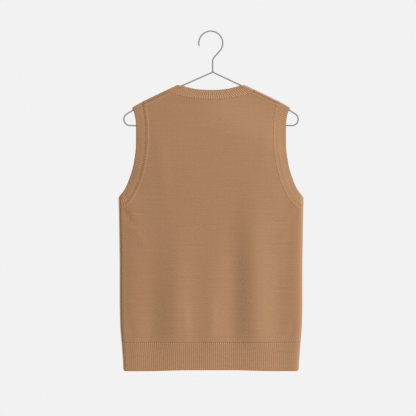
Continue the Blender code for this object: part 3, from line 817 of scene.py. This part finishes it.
def make_front_panel():
    x, drop = panel_stations(front_top)
    patch, points = panel_patch(x, drop, np.full_like(x, 1))
    add_relief(patch, points, FRONT_SEAMS)
    top_x = x[-1]
    patches = [patch]
    for sign in (1, -1):
        strip = sign * top_x >= NECK_SEAM_FOLD - 1e-6
        patches.append(shoulder_patch(top_x[strip], patch["u"][-1, strip], patch["v"][-1, strip], sign))
    return cloth_piece("front_plain_knit", patches, JERSEY, PURL)


back = make_back_panel()
front = make_front_panel()


# %% [markdown]
# ## Ribs
# One-by-one rib alternates a knit column and a purl column. The knit columns stand proud and the purl
# columns sink between them, on both faces, so the sheet is corrugated. The ribs are modelled, because
# they show at the edges and catch the light. A rib swells a little where it ends at a seam, and the free
# edge is rounded and thin.

# %% Shapes shared by all ribs
RIB_SAMPLES = 8         # columns of stations in one rib
NECK_RIB_PITCH = 5.9    # the neckband is stretched round the opening
HEM_RIB_RISE, NECK_RIB_RISE, ARM_RIB_RISE = 0.2, 0.34, 0.2    # how far a rib stands out or sinks
ARM_BAND, NECK_BAND = 23, 22.5          # widths for which the bands' rows are spaced
EDGE_ROUND = 2.1        # the free edge is thin over this width
RIB_THIN = 0.45         # left off the half thickness, since the ribs' relief adds to it
RIBS_GROW, RIBS_FADE = 2.5, 1.6         # the widths over which ribs rise at the edge and end at the seam
GROOVE_DARK, JOIN_DARK = 0.05, 0.2      # painted shade in the grooves, and in the grooves at the seam
EDGE_DARK, EDGE_DARK_WIDE = 0.75, 1.2   # painted shade along the rolled free edge, and its width
HEM_CALM_FROM, HEM_CALM_OVER, HEM_CALM = 150, 45, 0.6    # hem ribs lie flatter towards the sides
TOP_CALM, TOP_CALM_WIDE = 0.7, 4        # a band's ribs lie flatter where it folds over the shoulder


def rib_wave(phase):
    """1 on top of a rib, which is broad, and -1 in the narrow groove between two."""
    return 2 * (0.5 + 0.5 * np.cos(2 * np.pi * phase)) ** 0.7 - 1


def edge_rows(width, spacing):
    """Distances from the free edge to the seam: close together where the rib ends."""
    near = np.array((0, 0.25, 0.7, 1.3, 2.1, 3.2))
    middle = np.arange(5, width - 4, spacing)
    return np.concatenate([near, middle, width - np.array((3.2, 2.2, 1.3, 0.6, 0))])


# the ridge's distance from the seam, its height, whether it is only on the ribs, its painted highlight,
# the dip at the seam, painted shade there, paleness of the whole band
NECK_END = (2.6, 0.35, True, 0.4, 0.25, 0.45, 0.36)
ARM_END = (5.6, 0.3, False, 0.35, 0.08, 0.12, 0.2)
HEM_END = (2.4, 0.3, True, 0.5, 0, 0, 0.05)


def rib_relief(phase, from_edge, from_seam, rise, end, calm=1):
    """Relief, half thickness, and painted shade and highlight of ribbed cloth."""
    ridge_at, ridge_height, on_ribs, light, groove, dark, pale = end
    wave = rib_wave(phase)
    start = smoothstep((from_edge + 0.8) / RIBS_GROW)
    stop = smoothstep((from_seam + 0.2) / RIBS_FADE)
    ridge_line = np.exp(-(((from_seam - ridge_at) / SEAM_RIDGE) ** 2))
    ridge_line = ridge_line * (np.maximum(wave, 0) if on_ribs else 1)
    dip = np.exp(-(from_seam**2))
    relief = calm * (rise * wave * start * stop + ridge_height * ridge_line - groove * dip)
    thin = np.sqrt(np.clip(1 - (1 - from_edge / EDGE_ROUND).clip(0, 1) ** 2, 0.04, 1))
    # Painted shade in the grooves, in the dip at the seam and along the free edge; a painted highlight on
    # the ridge; and a paler colour over the whole band.
    depth = GROOVE_DARK * (1 - wave) * start - pale + (dark - JOIN_DARK * wave) * dip * (groove > 0)
    depth = depth + EDGE_DARK * np.exp(-((from_edge / EDGE_DARK_WIDE) ** 2)) - light * ridge_line
    return relief, (RIB_T / 2 - RIB_THIN) * thin + 0 * wave, depth


# %% [markdown]
# The hem ribs hang straight down. The knitting narrows there, because rib pulls in, and its lower edge
# dips slightly towards the sides.

# %% Hem ribs
def even_shares(count):
    """Shares of the half width that are evenly spaced round the tube's flattened section."""
    share = np.sin(np.linspace(0, np.pi / 2, 4000))
    wide, deep = float(half_width(785)), float(soft_lookup(HALF_DEPTH, 785))
    depth = deep * np.sqrt(np.maximum(1 - share**SIDE_POWER, 0))
    steps = np.hypot(np.diff(share * wide), np.diff(depth))
    length = np.concatenate([[0], np.cumsum(steps)])
    half = np.interp(np.linspace(0, length[-1], count + 1), length, share)
    return np.concatenate([-half[:0:-1], half]), 2 * length[-1]


def hem_bottom(share):
    drop = HEM_MIDDLE + (HEM_SIDE - HEM_MIDDLE) * smoothstep((share - 0.25) / 0.5)
    return drop - 2 * smoothstep((share - 0.985) / 0.015)


def make_hem(name, side_sign):
    _, around = even_shares(10)
    ribs = 2 * int(round(around * MM / RIB_PITCH / 2))
    share, _ = even_shares(ribs * RIB_SAMPLES // 2)
    phase = np.linspace(-0.5, ribs - 0.5, len(share))[None, :]
    width = HEM_MIDDLE - HEM_TOP
    rows = edge_rows(width, 3.2)[:, None]
    bottom = hem_bottom(np.abs(share))[None, :]
    drop = bottom - (bottom - HEM_TOP) * rows / width
    x = share[None, :] * half_width(drop)
    side = np.full_like(x, side_sign)
    calm = smoothstep((np.abs(x) - HEM_CALM_FROM) / HEM_CALM_OVER)
    rise = HEM_RIB_RISE * (1 - HEM_CALM * calm)
    relief, half, depth = rib_relief(phase, rows + 0 * x, width - rows + 0 * x, rise, HEM_END)
    patch = dict(x=x, drop=drop, side=side, relief=relief, half=half, depth=depth,
                 u=phase * RIB_PITCH / MM + 0 * x, v=rows + 0 * x)
    print(name, "ribs:", ribs)
    return cloth_piece(name, [patch], RIB, RIB)


hem_back = make_hem("hem_rib_back_knit", -1)
hem_front = make_hem("hem_rib_front_knit", 1)


# %% [markdown]
# The bands are strips of the same rib, linked on round each opening with the ribs square to the edge.

# %% Neck and armhole bands
def on_band(line, share):
    """x and run on a band, this share of the way from its free edge to its seam."""
    return [line[:, k] + (line[:, k + 2] - line[:, k]) * share for k in (0, 1)]


def read_off(at, length, rows):
    """Rows between a line's own, at the given lengths along it."""
    return np.stack([np.interp(at, length, column) for column in rows.T], axis=1)


def even_pairs(line, pitch, where):
    """Rows of a band evenly spaced along it, eight for each rib, with each row's rib count."""
    x, run = on_band(line, where)
    drop, side = from_run(x, run)
    points, _ = cloth(x, drop, side)
    length = lengths(points)
    ribs = int(round(length[-1] / pitch))
    at = np.linspace(0, length[-1], ribs * RIB_SAMPLES + 1)
    return read_off(at, length, line), np.linspace(0, ribs, len(at))


def band_patch(pairs, phase, sign, front, rise, end, width):
    """A stretch of band as a patch: rows from the free edge to the seam."""
    rows = (edge_rows(width, 2.8) / width)[:, None]
    x, run = on_band(pairs, rows)
    if front:
        run = -run
    drop, side = from_run(x, run)
    points, _ = cloth(sign * x, drop, side)
    across = lengths(points, 0, (0, 1, 2))
    calm = 1 - TOP_CALM * np.exp(-((run / TOP_CALM_WIDE) ** 2))
    relief, half, depth = rib_relief(phase[None, :], across, across[-1:] - across, rise, end, calm)
    return dict(x=sign * x, drop=drop, side=side, relief=relief, half=half, depth=depth,
                u=phase[None, :] * RIB_PITCH / MM + 0 * x, v=across)


def make_armhole_band(name, sign):
    pairs, phase = even_pairs(ARM_LINE, RIB_PITCH / MM, 0.5)
    patches = [band_patch(pairs, phase, sign, front, ARM_RIB_RISE, ARM_END, ARM_BAND)
               for front in (False, True)]
    print(name, "ribs:", 2 * int(phase[-1]))
    return cloth_piece(name, patches, RIB, RIB)


def make_neckband():
    pairs, phase = even_pairs(NECK_LINE, NECK_RIB_PITCH, 1)
    patches = [band_patch(pairs, phase, sign, False, NECK_RIB_RISE, NECK_END, NECK_BAND)
               for sign in (1, -1)]
    print("neckband ribs:", 2 * int(phase[-1]))
    return cloth_piece("neckband_knit", patches, RIB, RIB)


neckband = make_neckband()
band_right = make_armhole_band("armhole_band_right_knit", 1)
band_left = make_armhole_band("armhole_band_left_knit", -1)

# %% [markdown]
# ## Linking stitches
# A linking machine joins a band to a panel loop by loop, and leaves a fine chain of yarn along the seam.
# Each link is a small pointed ring. They could be an array modifier on a curve, but a mesh made at once
# from repeated links needs no modifier, follows both faces of the vest and stays light.

# %% Chains of links
LINK_PITCH, LINK_WIDE, THREAD_R = 2.6, 0.46, 0.4    # millimetres
PLY_PITCH = 0.7 * MM
LINK_PAINTED_LIGHT = -0.5       # painted light: the proud chain is coloured lighter than the cloth
AROUND, ABOUT = 12, 6   # sections round a link, and sides of its thread
CHAIN_PAST, CHAIN_LIFT = 0.4, 0.85      # how far onto the panel, and off the middle of the cloth
V_TIP_ROWS = 40         # rows of the neck line that the chain leaves free at the V's tip
SHOULDER_PAST, SHOULDER_INSET = 1.5, 1


def linking_yarn():
    """Twisted wool, as in the knitting, pulled tight: its ply shows as slanting lines."""
    material, tree, shader = new_material("wool_linking_yarn", WOOL)
    knit = add(tree, "UVMap", {"uv_map": "knit"})
    split = add(tree, "SeparateXYZ", links={0: knit})
    slant = add(tree, "Math", {"operation": "MULTIPLY_ADD", 1: 0.8},
                {0: split.outputs["X"], 2: split.outputs["Y"]})
    turn = add(tree, "Math", {"operation": "MULTIPLY", 1: 2 * np.pi / PLY_PITCH}, {0: slant})
    ply = add(tree, "Math", {"operation": "SINE"}, {0: turn})
    height = add(tree, "Math", {"operation": "MULTIPLY_ADD", 1: 0.5, 2: 0.5}, {0: ply})
    finish_wool(tree, shader, knit, height, shown=0.35, bump_height=0.12 * MM)
    return material


LINKING = linking_yarn()


def chain(name, lines):
    """One mesh with a link every 2.6 mm along lines of (points, outward directions)."""
    around = np.arange(AROUND)[:, None] * np.pi / 6 + np.zeros(ABOUT)
    about = np.arange(ABOUT) * np.pi / 3 + np.zeros((AROUND, 1))
    bend = 0.58 * LINK_PITCH * np.cos(around), LINK_WIDE * np.sin(around)
    out = np.cos(about) * THREAD_R
    ring = np.stack([bend[0] + out * np.cos(around), bend[1] + out * np.sin(around),
                     np.sin(about) * THREAD_R], axis=-1).reshape(-1, 3)
    quads = tube_quads(AROUND, ABOUT).reshape(-1, 4)
    places, frames = [], []
    for points, normals in lines:
        length = lengths(points)
        at = np.arange(LINK_PITCH / 2, length[-1], LINK_PITCH)
        here = read_off(at, length, points)
        up = unit(read_off(at, length, normals))
        along = read_off(at + 0.2, length, points) - here
        along = unit(along - up * np.einsum("ij,ij->i", along, up)[:, None])
        places.append(here)
        frames.append(np.stack([along, np.cross(up, along), up], axis=1))
    places, frames = np.concatenate(places), np.concatenate(frames)
    verts = places[:, None, :] + np.einsum("vk,nkj->nvj", ring, frames)
    faces = quads[None] + AROUND * ABOUT * np.arange(len(places))[:, None, None]
    tile = np.stack([around, about], axis=-1).reshape(-1, 2)[quads].reshape(-1, 2) * (0.9, THREAD_R)
    piece = add_mesh(name, verts.reshape(-1, 3), faces.reshape(-1, 4).tolist(), "knit",
                     np.tile(tile, (len(places), 1)), (LINKING,))
    set_painted_shading(piece.data, np.full(len(piece.data.vertices), LINK_PAINTED_LIGHT))
    print(name, "links:", len(places), "triangles:", 2 * len(piece.data.polygons))
    return piece


def line_by_band(line, sign, front=False):
    """A line beside a band's seam, just onto the panel and just above the cloth."""
    wide = np.hypot(line[:, 2] - line[:, 0], line[:, 3] - line[:, 1])
    x, run = on_band(line, 1 + CHAIN_PAST / wide)
    drop, side = from_run(x, -run if front else run)
    points, normals = cloth(sign * x, drop, side)
    return points + normals * CHAIN_LIFT, normals


def shoulder_stitches(sign):
    x = sign * np.linspace(NECK_SEAM_FOLD + SHOULDER_INSET, ARM_SEAM_FOLD - SHOULDER_INSET, 200)
    points, normals = cloth(x, ridge(x) + SHOULDER_SEAM + SHOULDER_PAST, np.full_like(x, -1))
    return points + normals * (JERSEY_T / 2 - 0.1), normals


neck_links = chain("neck_linking", [line_by_band(NECK_LINE[V_TIP_ROWS:], sign) for sign in (1, -1)])
arm_links = [
    chain(name, [line_by_band(ARM_LINE, sign, front) for front in (False, True)])
    for name, sign in (("armhole_linking_right", 1), ("armhole_linking_left", -1))
]
shoulder_links = chain("shoulder_linking", [shoulder_stitches(sign) for sign in (1, -1)])

# %% [markdown]
# ## The hanger
# A dry cleaner's or shop hanger is drawn steel wire, bent in one plane and plated bright. A curve with a
# round bevel would give the tube; it is swept here from its bends, so that the tip can be rounded and the
# weld can be lumpy. The hook is a separate wire, welded to the top of the frame.

# %% Lines of the wires, in millimetres
WIRE_R = 1.75
WIRE_STEP = 1.2
APEX, APEX_BEND = (3.9, 97.5), 8
ARM_REST, ARM_REST_BEND = (152, 166.8), 90
TIP_BEND = 15.3
TIP_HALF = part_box("hanger_frame")[1].x / MM - WIRE_R
BAR_DROP = -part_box("hanger_frame")[0].z / MM - WIRE_R
HOOK_R, HOOK_X = 29, -0.7
HOOK_TOP = -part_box("hanger_hook")[1].z / MM + WIRE_R
HOOK_LEAVE, HOOK_TIP = 42, 14
NECK_BEND, FOOT_DROP = 16, 96.25


def arc(centre, radius, start, end):
    """Points of an arc in x and drop, angles in degrees from +x towards more drop, 0.8 mm apart."""
    steps = max(2, int(abs(np.radians(end - start)) * radius / 0.8))
    angles = np.radians(np.linspace(start, end, steps + 1))
    return [(centre[0] + radius * np.cos(a), centre[1] + radius * np.sin(a)) for a in angles]


def rounded(before, corner, after, radius):
    """Points of the round that replaces a corner."""
    corner = np.array(corner, float)
    u, v = np.array(before, float) - corner, np.array(after, float) - corner
    u, v = u / np.linalg.norm(u), v / np.linalg.norm(v)
    half = np.arccos(np.clip(u.dot(v), -1, 1)) / 2
    centre = corner + (u + v) / np.linalg.norm(u + v) * radius / np.sin(half)
    start = corner + u * radius / np.tan(half) - centre
    end = corner + v * radius / np.tan(half) - centre
    first = np.degrees(np.arctan2(start[1], start[0]))
    turn = (np.degrees(np.arctan2(end[1], end[0])) - first + 180) % 360 - 180
    return arc(centre, radius, first, first + turn)


def frame_line():
    """Closed line of the hanger's frame: apex, right arm, right tip, bar, left tip, left arm."""
    centre = np.array((TIP_HALF - TIP_BEND, BAR_DROP - TIP_BEND))
    away = centre - np.array(ARM_REST)
    lean = np.arctan2(away[1], away[0]) - np.arcsin(TIP_BEND / np.linalg.norm(away))
    touch = np.degrees(lean) - 90
    left = (-ARM_REST[0], ARM_REST[1])
    beyond = (ARM_REST[0] + np.cos(lean), ARM_REST[1] + np.sin(lean))
    line = rounded(left, APEX, ARM_REST, APEX_BEND) + rounded(APEX, ARM_REST, beyond, ARM_REST_BEND)
    line += arc(centre, TIP_BEND, touch, 90)
    line += arc((-centre[0], centre[1]), TIP_BEND, 90, 180 - touch)
    return line + rounded((-beyond[0], beyond[1]), left, APEX, ARM_REST_BEND)


def hook_line():
    """Open line of the hook: foot, neck, and the round to its tip."""
    centre = (HOOK_X, HOOK_TOP + HOOK_R)
    start = arc(centre, HOOK_R, HOOK_LEAVE, HOOK_LEAVE)[0]
    down = (-np.sin(np.radians(HOOK_LEAVE)), np.cos(np.radians(HOOK_LEAVE)))
    corner = (APEX[0], start[1] + (APEX[0] - start[0]) / down[0] * down[1])
    foot = (APEX[0], FOOT_DROP)
    line = [foot] + rounded(foot, corner, start, NECK_BEND)
    return line + arc(centre, HOOK_R, HOOK_LEAVE, -180 - HOOK_TIP)


def close_points(line, closed):
    """The same line with points about 1.2 mm apart, so that marks on the wire stay even."""
    line = np.array(line)
    if closed:
        line = np.vstack([line, line[:1]])
    length = lengths(line)
    keep = np.concatenate([[True], np.diff(length) > 1e-6])
    line, length = line[keep], length[keep]
    made = read_off(np.linspace(0, length[-1], int(length[-1] / WIRE_STEP) + 1), length, line)
    return made[:-1] if closed else made


# %% [markdown]
# Zinc-plated drawn wire is a metal mirror that is slightly dulled: die marks run along it, and the plating
# has a fine cloudy grain. The base colour sets how bright its reflections are.

# %% Wire material and pieces
DIE_MARKS = (2600, 60, 1)               # per metre: marks about 0.4 mm wide and 17 mm long
CLOUD_SCALE = 700       # per metre: grain of about 1.4 mm
ZINC_DULL, ZINC_BRIGHT = linear("#C0C1BF"), linear("#E0E1DF")


def plated_steel():
    """Bright zinc plate on drawn steel wire."""
    material, tree, shader = new_material("zinc_plated_steel_wire", {"Metallic": 1})
    place = add(tree, "UVMap", {"uv_map": "wire"})
    stretch = add(tree, "VectorMath", {"operation": "MULTIPLY", 1: DIE_MARKS}, {0: place})
    lines = add(tree, "TexNoise", {"Scale": 1, "Detail": 3}, {"Vector": stretch})
    cloud = add(tree, "TexNoise", {"Scale": CLOUD_SCALE, "Detail": 2}, {"Vector": place})
    shade = add(tree, "Mix", {"data_type": "RGBA", "A": ZINC_DULL, "B": ZINC_BRIGHT}, {"Factor": cloud})
    rough = add(tree, "MapRange", {"To Min": 0.2, "To Max": 0.36}, {"Value": lines})
    bump = add(tree, "Bump", {"Strength": 0.25, "Distance": 0.05 * MM}, {"Height": lines})
    join(tree, shader, {"Base Color": shade.outputs["Result"], "Roughness": rough, "Normal": bump})
    return material


WIRE_SIDES = 20


def wire_piece(name, line, radius, closed, material):
    """A round tube along a flat line, with a radius for each of its points."""
    line = np.array(line)
    ahead, behind = np.roll(line, -1, axis=0), np.roll(line, 1, axis=0)
    if not closed:
        ahead[-1], behind[0] = line[-1], line[0]
    along = unit(ahead - behind)
    across = np.stack([along[:, 1], -along[:, 0]], axis=1)
    turn = 2 * np.pi * np.arange(WIRE_SIDES) / WIRE_SIDES
    flat = line[:, None, :] + across[:, None, :] * (radius[:, None] * np.cos(turn))[..., None]
    depth = radius[:, None] * np.sin(turn)
    points = np.stack([flat[..., 0], depth, -flat[..., 1]], axis=-1).reshape(-1, 3)
    quads = tube_quads(len(line), WIRE_SIDES)[:len(line) if closed else -1, :, (0, 3, 2, 1)]
    faces = quads.reshape(-1, 4).tolist()
    if not closed:
        faces.append(list(range(WIRE_SIDES))[::-1])
        faces.append(list(range(len(points) - WIRE_SIDES, len(points))))
    length = lengths(line)
    ring, spoke = np.divmod(np.concatenate(faces), WIRE_SIDES)
    uv = np.stack([2 * np.pi * WIRE_R * spoke / WIRE_SIDES, length[ring]], axis=1)
    piece = add_mesh(name, points, faces, "wire", uv, (material,))
    print(name, "length in mm:", round(length[-1], 1))
    return piece


def blunt_ends(line, radius):
    """Radius along an open wire, rounded off at its end as a cropped and tumbled wire is."""
    left = np.linalg.norm(line - line[-1], axis=1)
    return radius * np.sqrt(np.clip(1 - (1 - (left + 0.05) / radius).clip(0, 1) ** 2, 0, 1))


STEEL = plated_steel()
TIP_STEPS = (-1, -0.75, -0.5, -0.3, -0.15, -0.05, 0)    # closer points for the hook's round tip
frame_points = close_points(frame_line(), True)
even_radius = np.full(len(frame_points), WIRE_R)
wire_frame = wire_piece("hanger_frame_wire", frame_points, even_radius, True, STEEL)
hook_points = close_points(hook_line(), False)
tip = hook_points[-1] + (hook_points[-1] - hook_points[-2]) * np.array(TIP_STEPS)[:, None]
hook_points = np.vstack([hook_points[:-2], tip])
hook = wire_piece("hanger_hook_wire", hook_points, blunt_ends(hook_points, WIRE_R), False, STEEL)

# %% [markdown]
# A bead of weld joins the hook's foot to the frame. It is a short swollen sleeve, fullest at the joint.

# %% Weld bead
BEAD_TOP, BEAD_FOOT, BEAD_SWELL, BEAD_LUMPS = 91.5, 99.6, 0.75, 0.06
bead_drops = np.linspace(BEAD_TOP, BEAD_FOOT, 28)
bead_line = np.stack([np.full_like(bead_drops, APEX[0]), bead_drops], axis=1)
bead_share = (bead_drops - bead_drops[0]) / (bead_drops[-1] - bead_drops[0])
bead_radius = WIRE_R + 0.02 + BEAD_SWELL * np.sin(np.pi * bead_share**1.5) ** 2
bead_radius = bead_radius + BEAD_LUMPS * np.sin(bead_share * 19)
bead_radius[-4:] *= (0.92, 0.78, 0.55, 0.2)
weld = wire_piece("hook_weld_bead", bead_line, bead_radius, False, STEEL)

# %% [markdown]
# ## What each piece stands for
# Every piece rides on the frame's one body and stands for the plain node that it replaces, which is hidden.

# %% Tie the pieces to the frame
pieces = (
    (back, "back_panel", "knit_jersey"),
    (front, "front_panel", "knit_jersey"),
    (neckband, "neckband", "knit_rib"),
    (band_right, "armhole_band_right", "knit_rib"),
    (band_left, "armhole_band_left", "knit_rib"),
    (hem_back, "hem_rib_back", "knit_rib"),
    (hem_front, "hem_rib_front", "knit_rib"),
    (wire_frame, "hanger_frame", "plated_wire"),
    (hook, "hanger_hook", "plated_wire"),
)
for piece, node, slot in pieces:
    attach(piece, "root")
    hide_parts(node)
    node_low, node_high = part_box(node)
    corners = np.array([corner[:] for corner in piece.bound_box])
    print(node, "box minus frame's in mm:", np.round((corners.min(0) - node_low) / MM, 1),
          np.round((corners.max(0) - node_high) / MM, 1))
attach(weld, "root")
for piece in [neck_links, shoulder_links] + arm_links:
    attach(piece, "root")

# %% [markdown]
# ## Studio
# The vest hangs in front of a pale backdrop that is lit on its own, as in a catalogue studio. That is why
# the camera sees a lighter world than the vest does, and the bright wire mirrors one in between. One wide
# soft box lights the back from its right, so folds are shaded on their left, and another lights the front
# in the same way from the opposite side. Pale walls fill the rest. The camera stands straight in front of
# the back, far away with a long lens, so the outline is nearly without perspective.

# %% World, floor and lights
PALE, WALLS, MIRRORED = linear("#F2F2F2"), linear("#888888"), linear("#B4B4B4")
scene = bpy.context.scene
scene.view_settings.view_transform = "Standard"
world = bpy.data.worlds.new("pale_studio")
world.use_nodes = True
sky = world.node_tree
sky.nodes.clear()
seen = add(sky, "LightPath")
studio = add(sky, "Background", {"Color": WALLS})
for ray, colour in (("Is Glossy Ray", MIRRORED), ("Is Camera Ray", PALE)):
    other = add(sky, "Background", {"Color": colour})
    studio = add(sky, "MixShader", links={0: seen.outputs[ray], 1: studio, 2: other})
add(sky, "OutputWorld", links={"Surface": studio})
scene.world = world

low, high = (Vector(corner) for corner in cad_box)
middle = (low + high) / 2
FLOOR_GAP, FLOOR_R = 0.2, 0.62


def painted_floor():
    """Matt studio paint that takes a soft shadow under the vest and fades into the even backdrop."""
    material = bpy.data.materials.new("matt_studio_paint")
    material.use_nodes = True
    tree = material.node_tree
    tree.nodes.clear()
    place = add(tree, "TexCoord").outputs["Object"]
    far = add(tree, "VectorMath", {"operation": "LENGTH"}, {0: place})
    fade = add(tree, "MapRange", {"interpolation_type": "SMOOTHSTEP", "From Min": 0.1, "From Max": 0.6},
               {"Value": far.outputs["Value"]})
    grain = add(tree, "TexNoise", {"Scale": 300, "Detail": 2}, {"Vector": place})
    tone = add(tree, "MapRange", {"To Min": 0.74, "To Max": 0.78}, {"Value": grain})
    paint = add(tree, "BsdfDiffuse", links={"Color": tone})
    clear = add(tree, "BsdfTransparent")
    mix = add(tree, "MixShader", links={0: fade, 1: paint, 2: clear})
    add(tree, "OutputMaterial", links={"Surface": mix})
    return material


floor_mesh = bpy.data.meshes.new("studio_floor")
angles = np.linspace(0, 2 * np.pi, 64, endpoint=False)
rim = [(FLOOR_R * np.cos(a), FLOOR_R * np.sin(a), 0) for a in angles]
floor_mesh.from_pydata(rim, [], [list(range(len(rim)))])
floor_mesh.materials.append(painted_floor())
floor = bpy.data.objects.new("studio_floor", floor_mesh)
floor.location = (0, 0, low.z - FLOOR_GAP)
scene.collection.objects.link(floor)


def soft_box(name, turn, rise, away, size, power):
    """A round soft light, turned from the back's side towards the right, aimed at the vest."""
    turn, rise = np.radians(turn), np.radians(rise)
    data = bpy.data.lights.new(name, "AREA")
    data.shape = "DISK"
    data.size = size
    data.energy = power
    light = bpy.data.objects.new(name, data)
    step = Vector((np.sin(turn) * np.cos(rise), -np.cos(turn) * np.cos(rise), np.sin(rise)))
    light.location = middle + step * away
    light.rotation_euler = step.to_track_quat("Z", "Y").to_euler()
    light.visible_camera = False
    light.visible_glossy = False
    scene.collection.objects.link(light)


for name, turn in (("soft_box_back", 53), ("soft_box_front", 233)):
    soft_box(name, turn, rise=25, away=6, size=4, power=556)

# %% Camera
LENS, SENSOR = 135, 36
VIEW_WIDTH = 1.00672    # metres across the picture at the vest
AIM_X, AIM_Z = -0.00726, -0.0183        # the camera's axis, off the middle of the frame's box
camera_data = bpy.data.cameras.new("camera")
camera_data.lens = LENS
camera_data.sensor_width = SENSOR
camera = bpy.data.objects.new("camera", camera_data)
distance = VIEW_WIDTH * LENS / SENSOR
camera.location = (middle.x + AIM_X, -distance, middle.z + AIM_Z)
camera.rotation_euler = (np.pi / 2, 0, 0)
scene.collection.objects.link(camera)
scene.camera = camera

# %% Bring the scene up to date
bpy.context.view_layer.update()
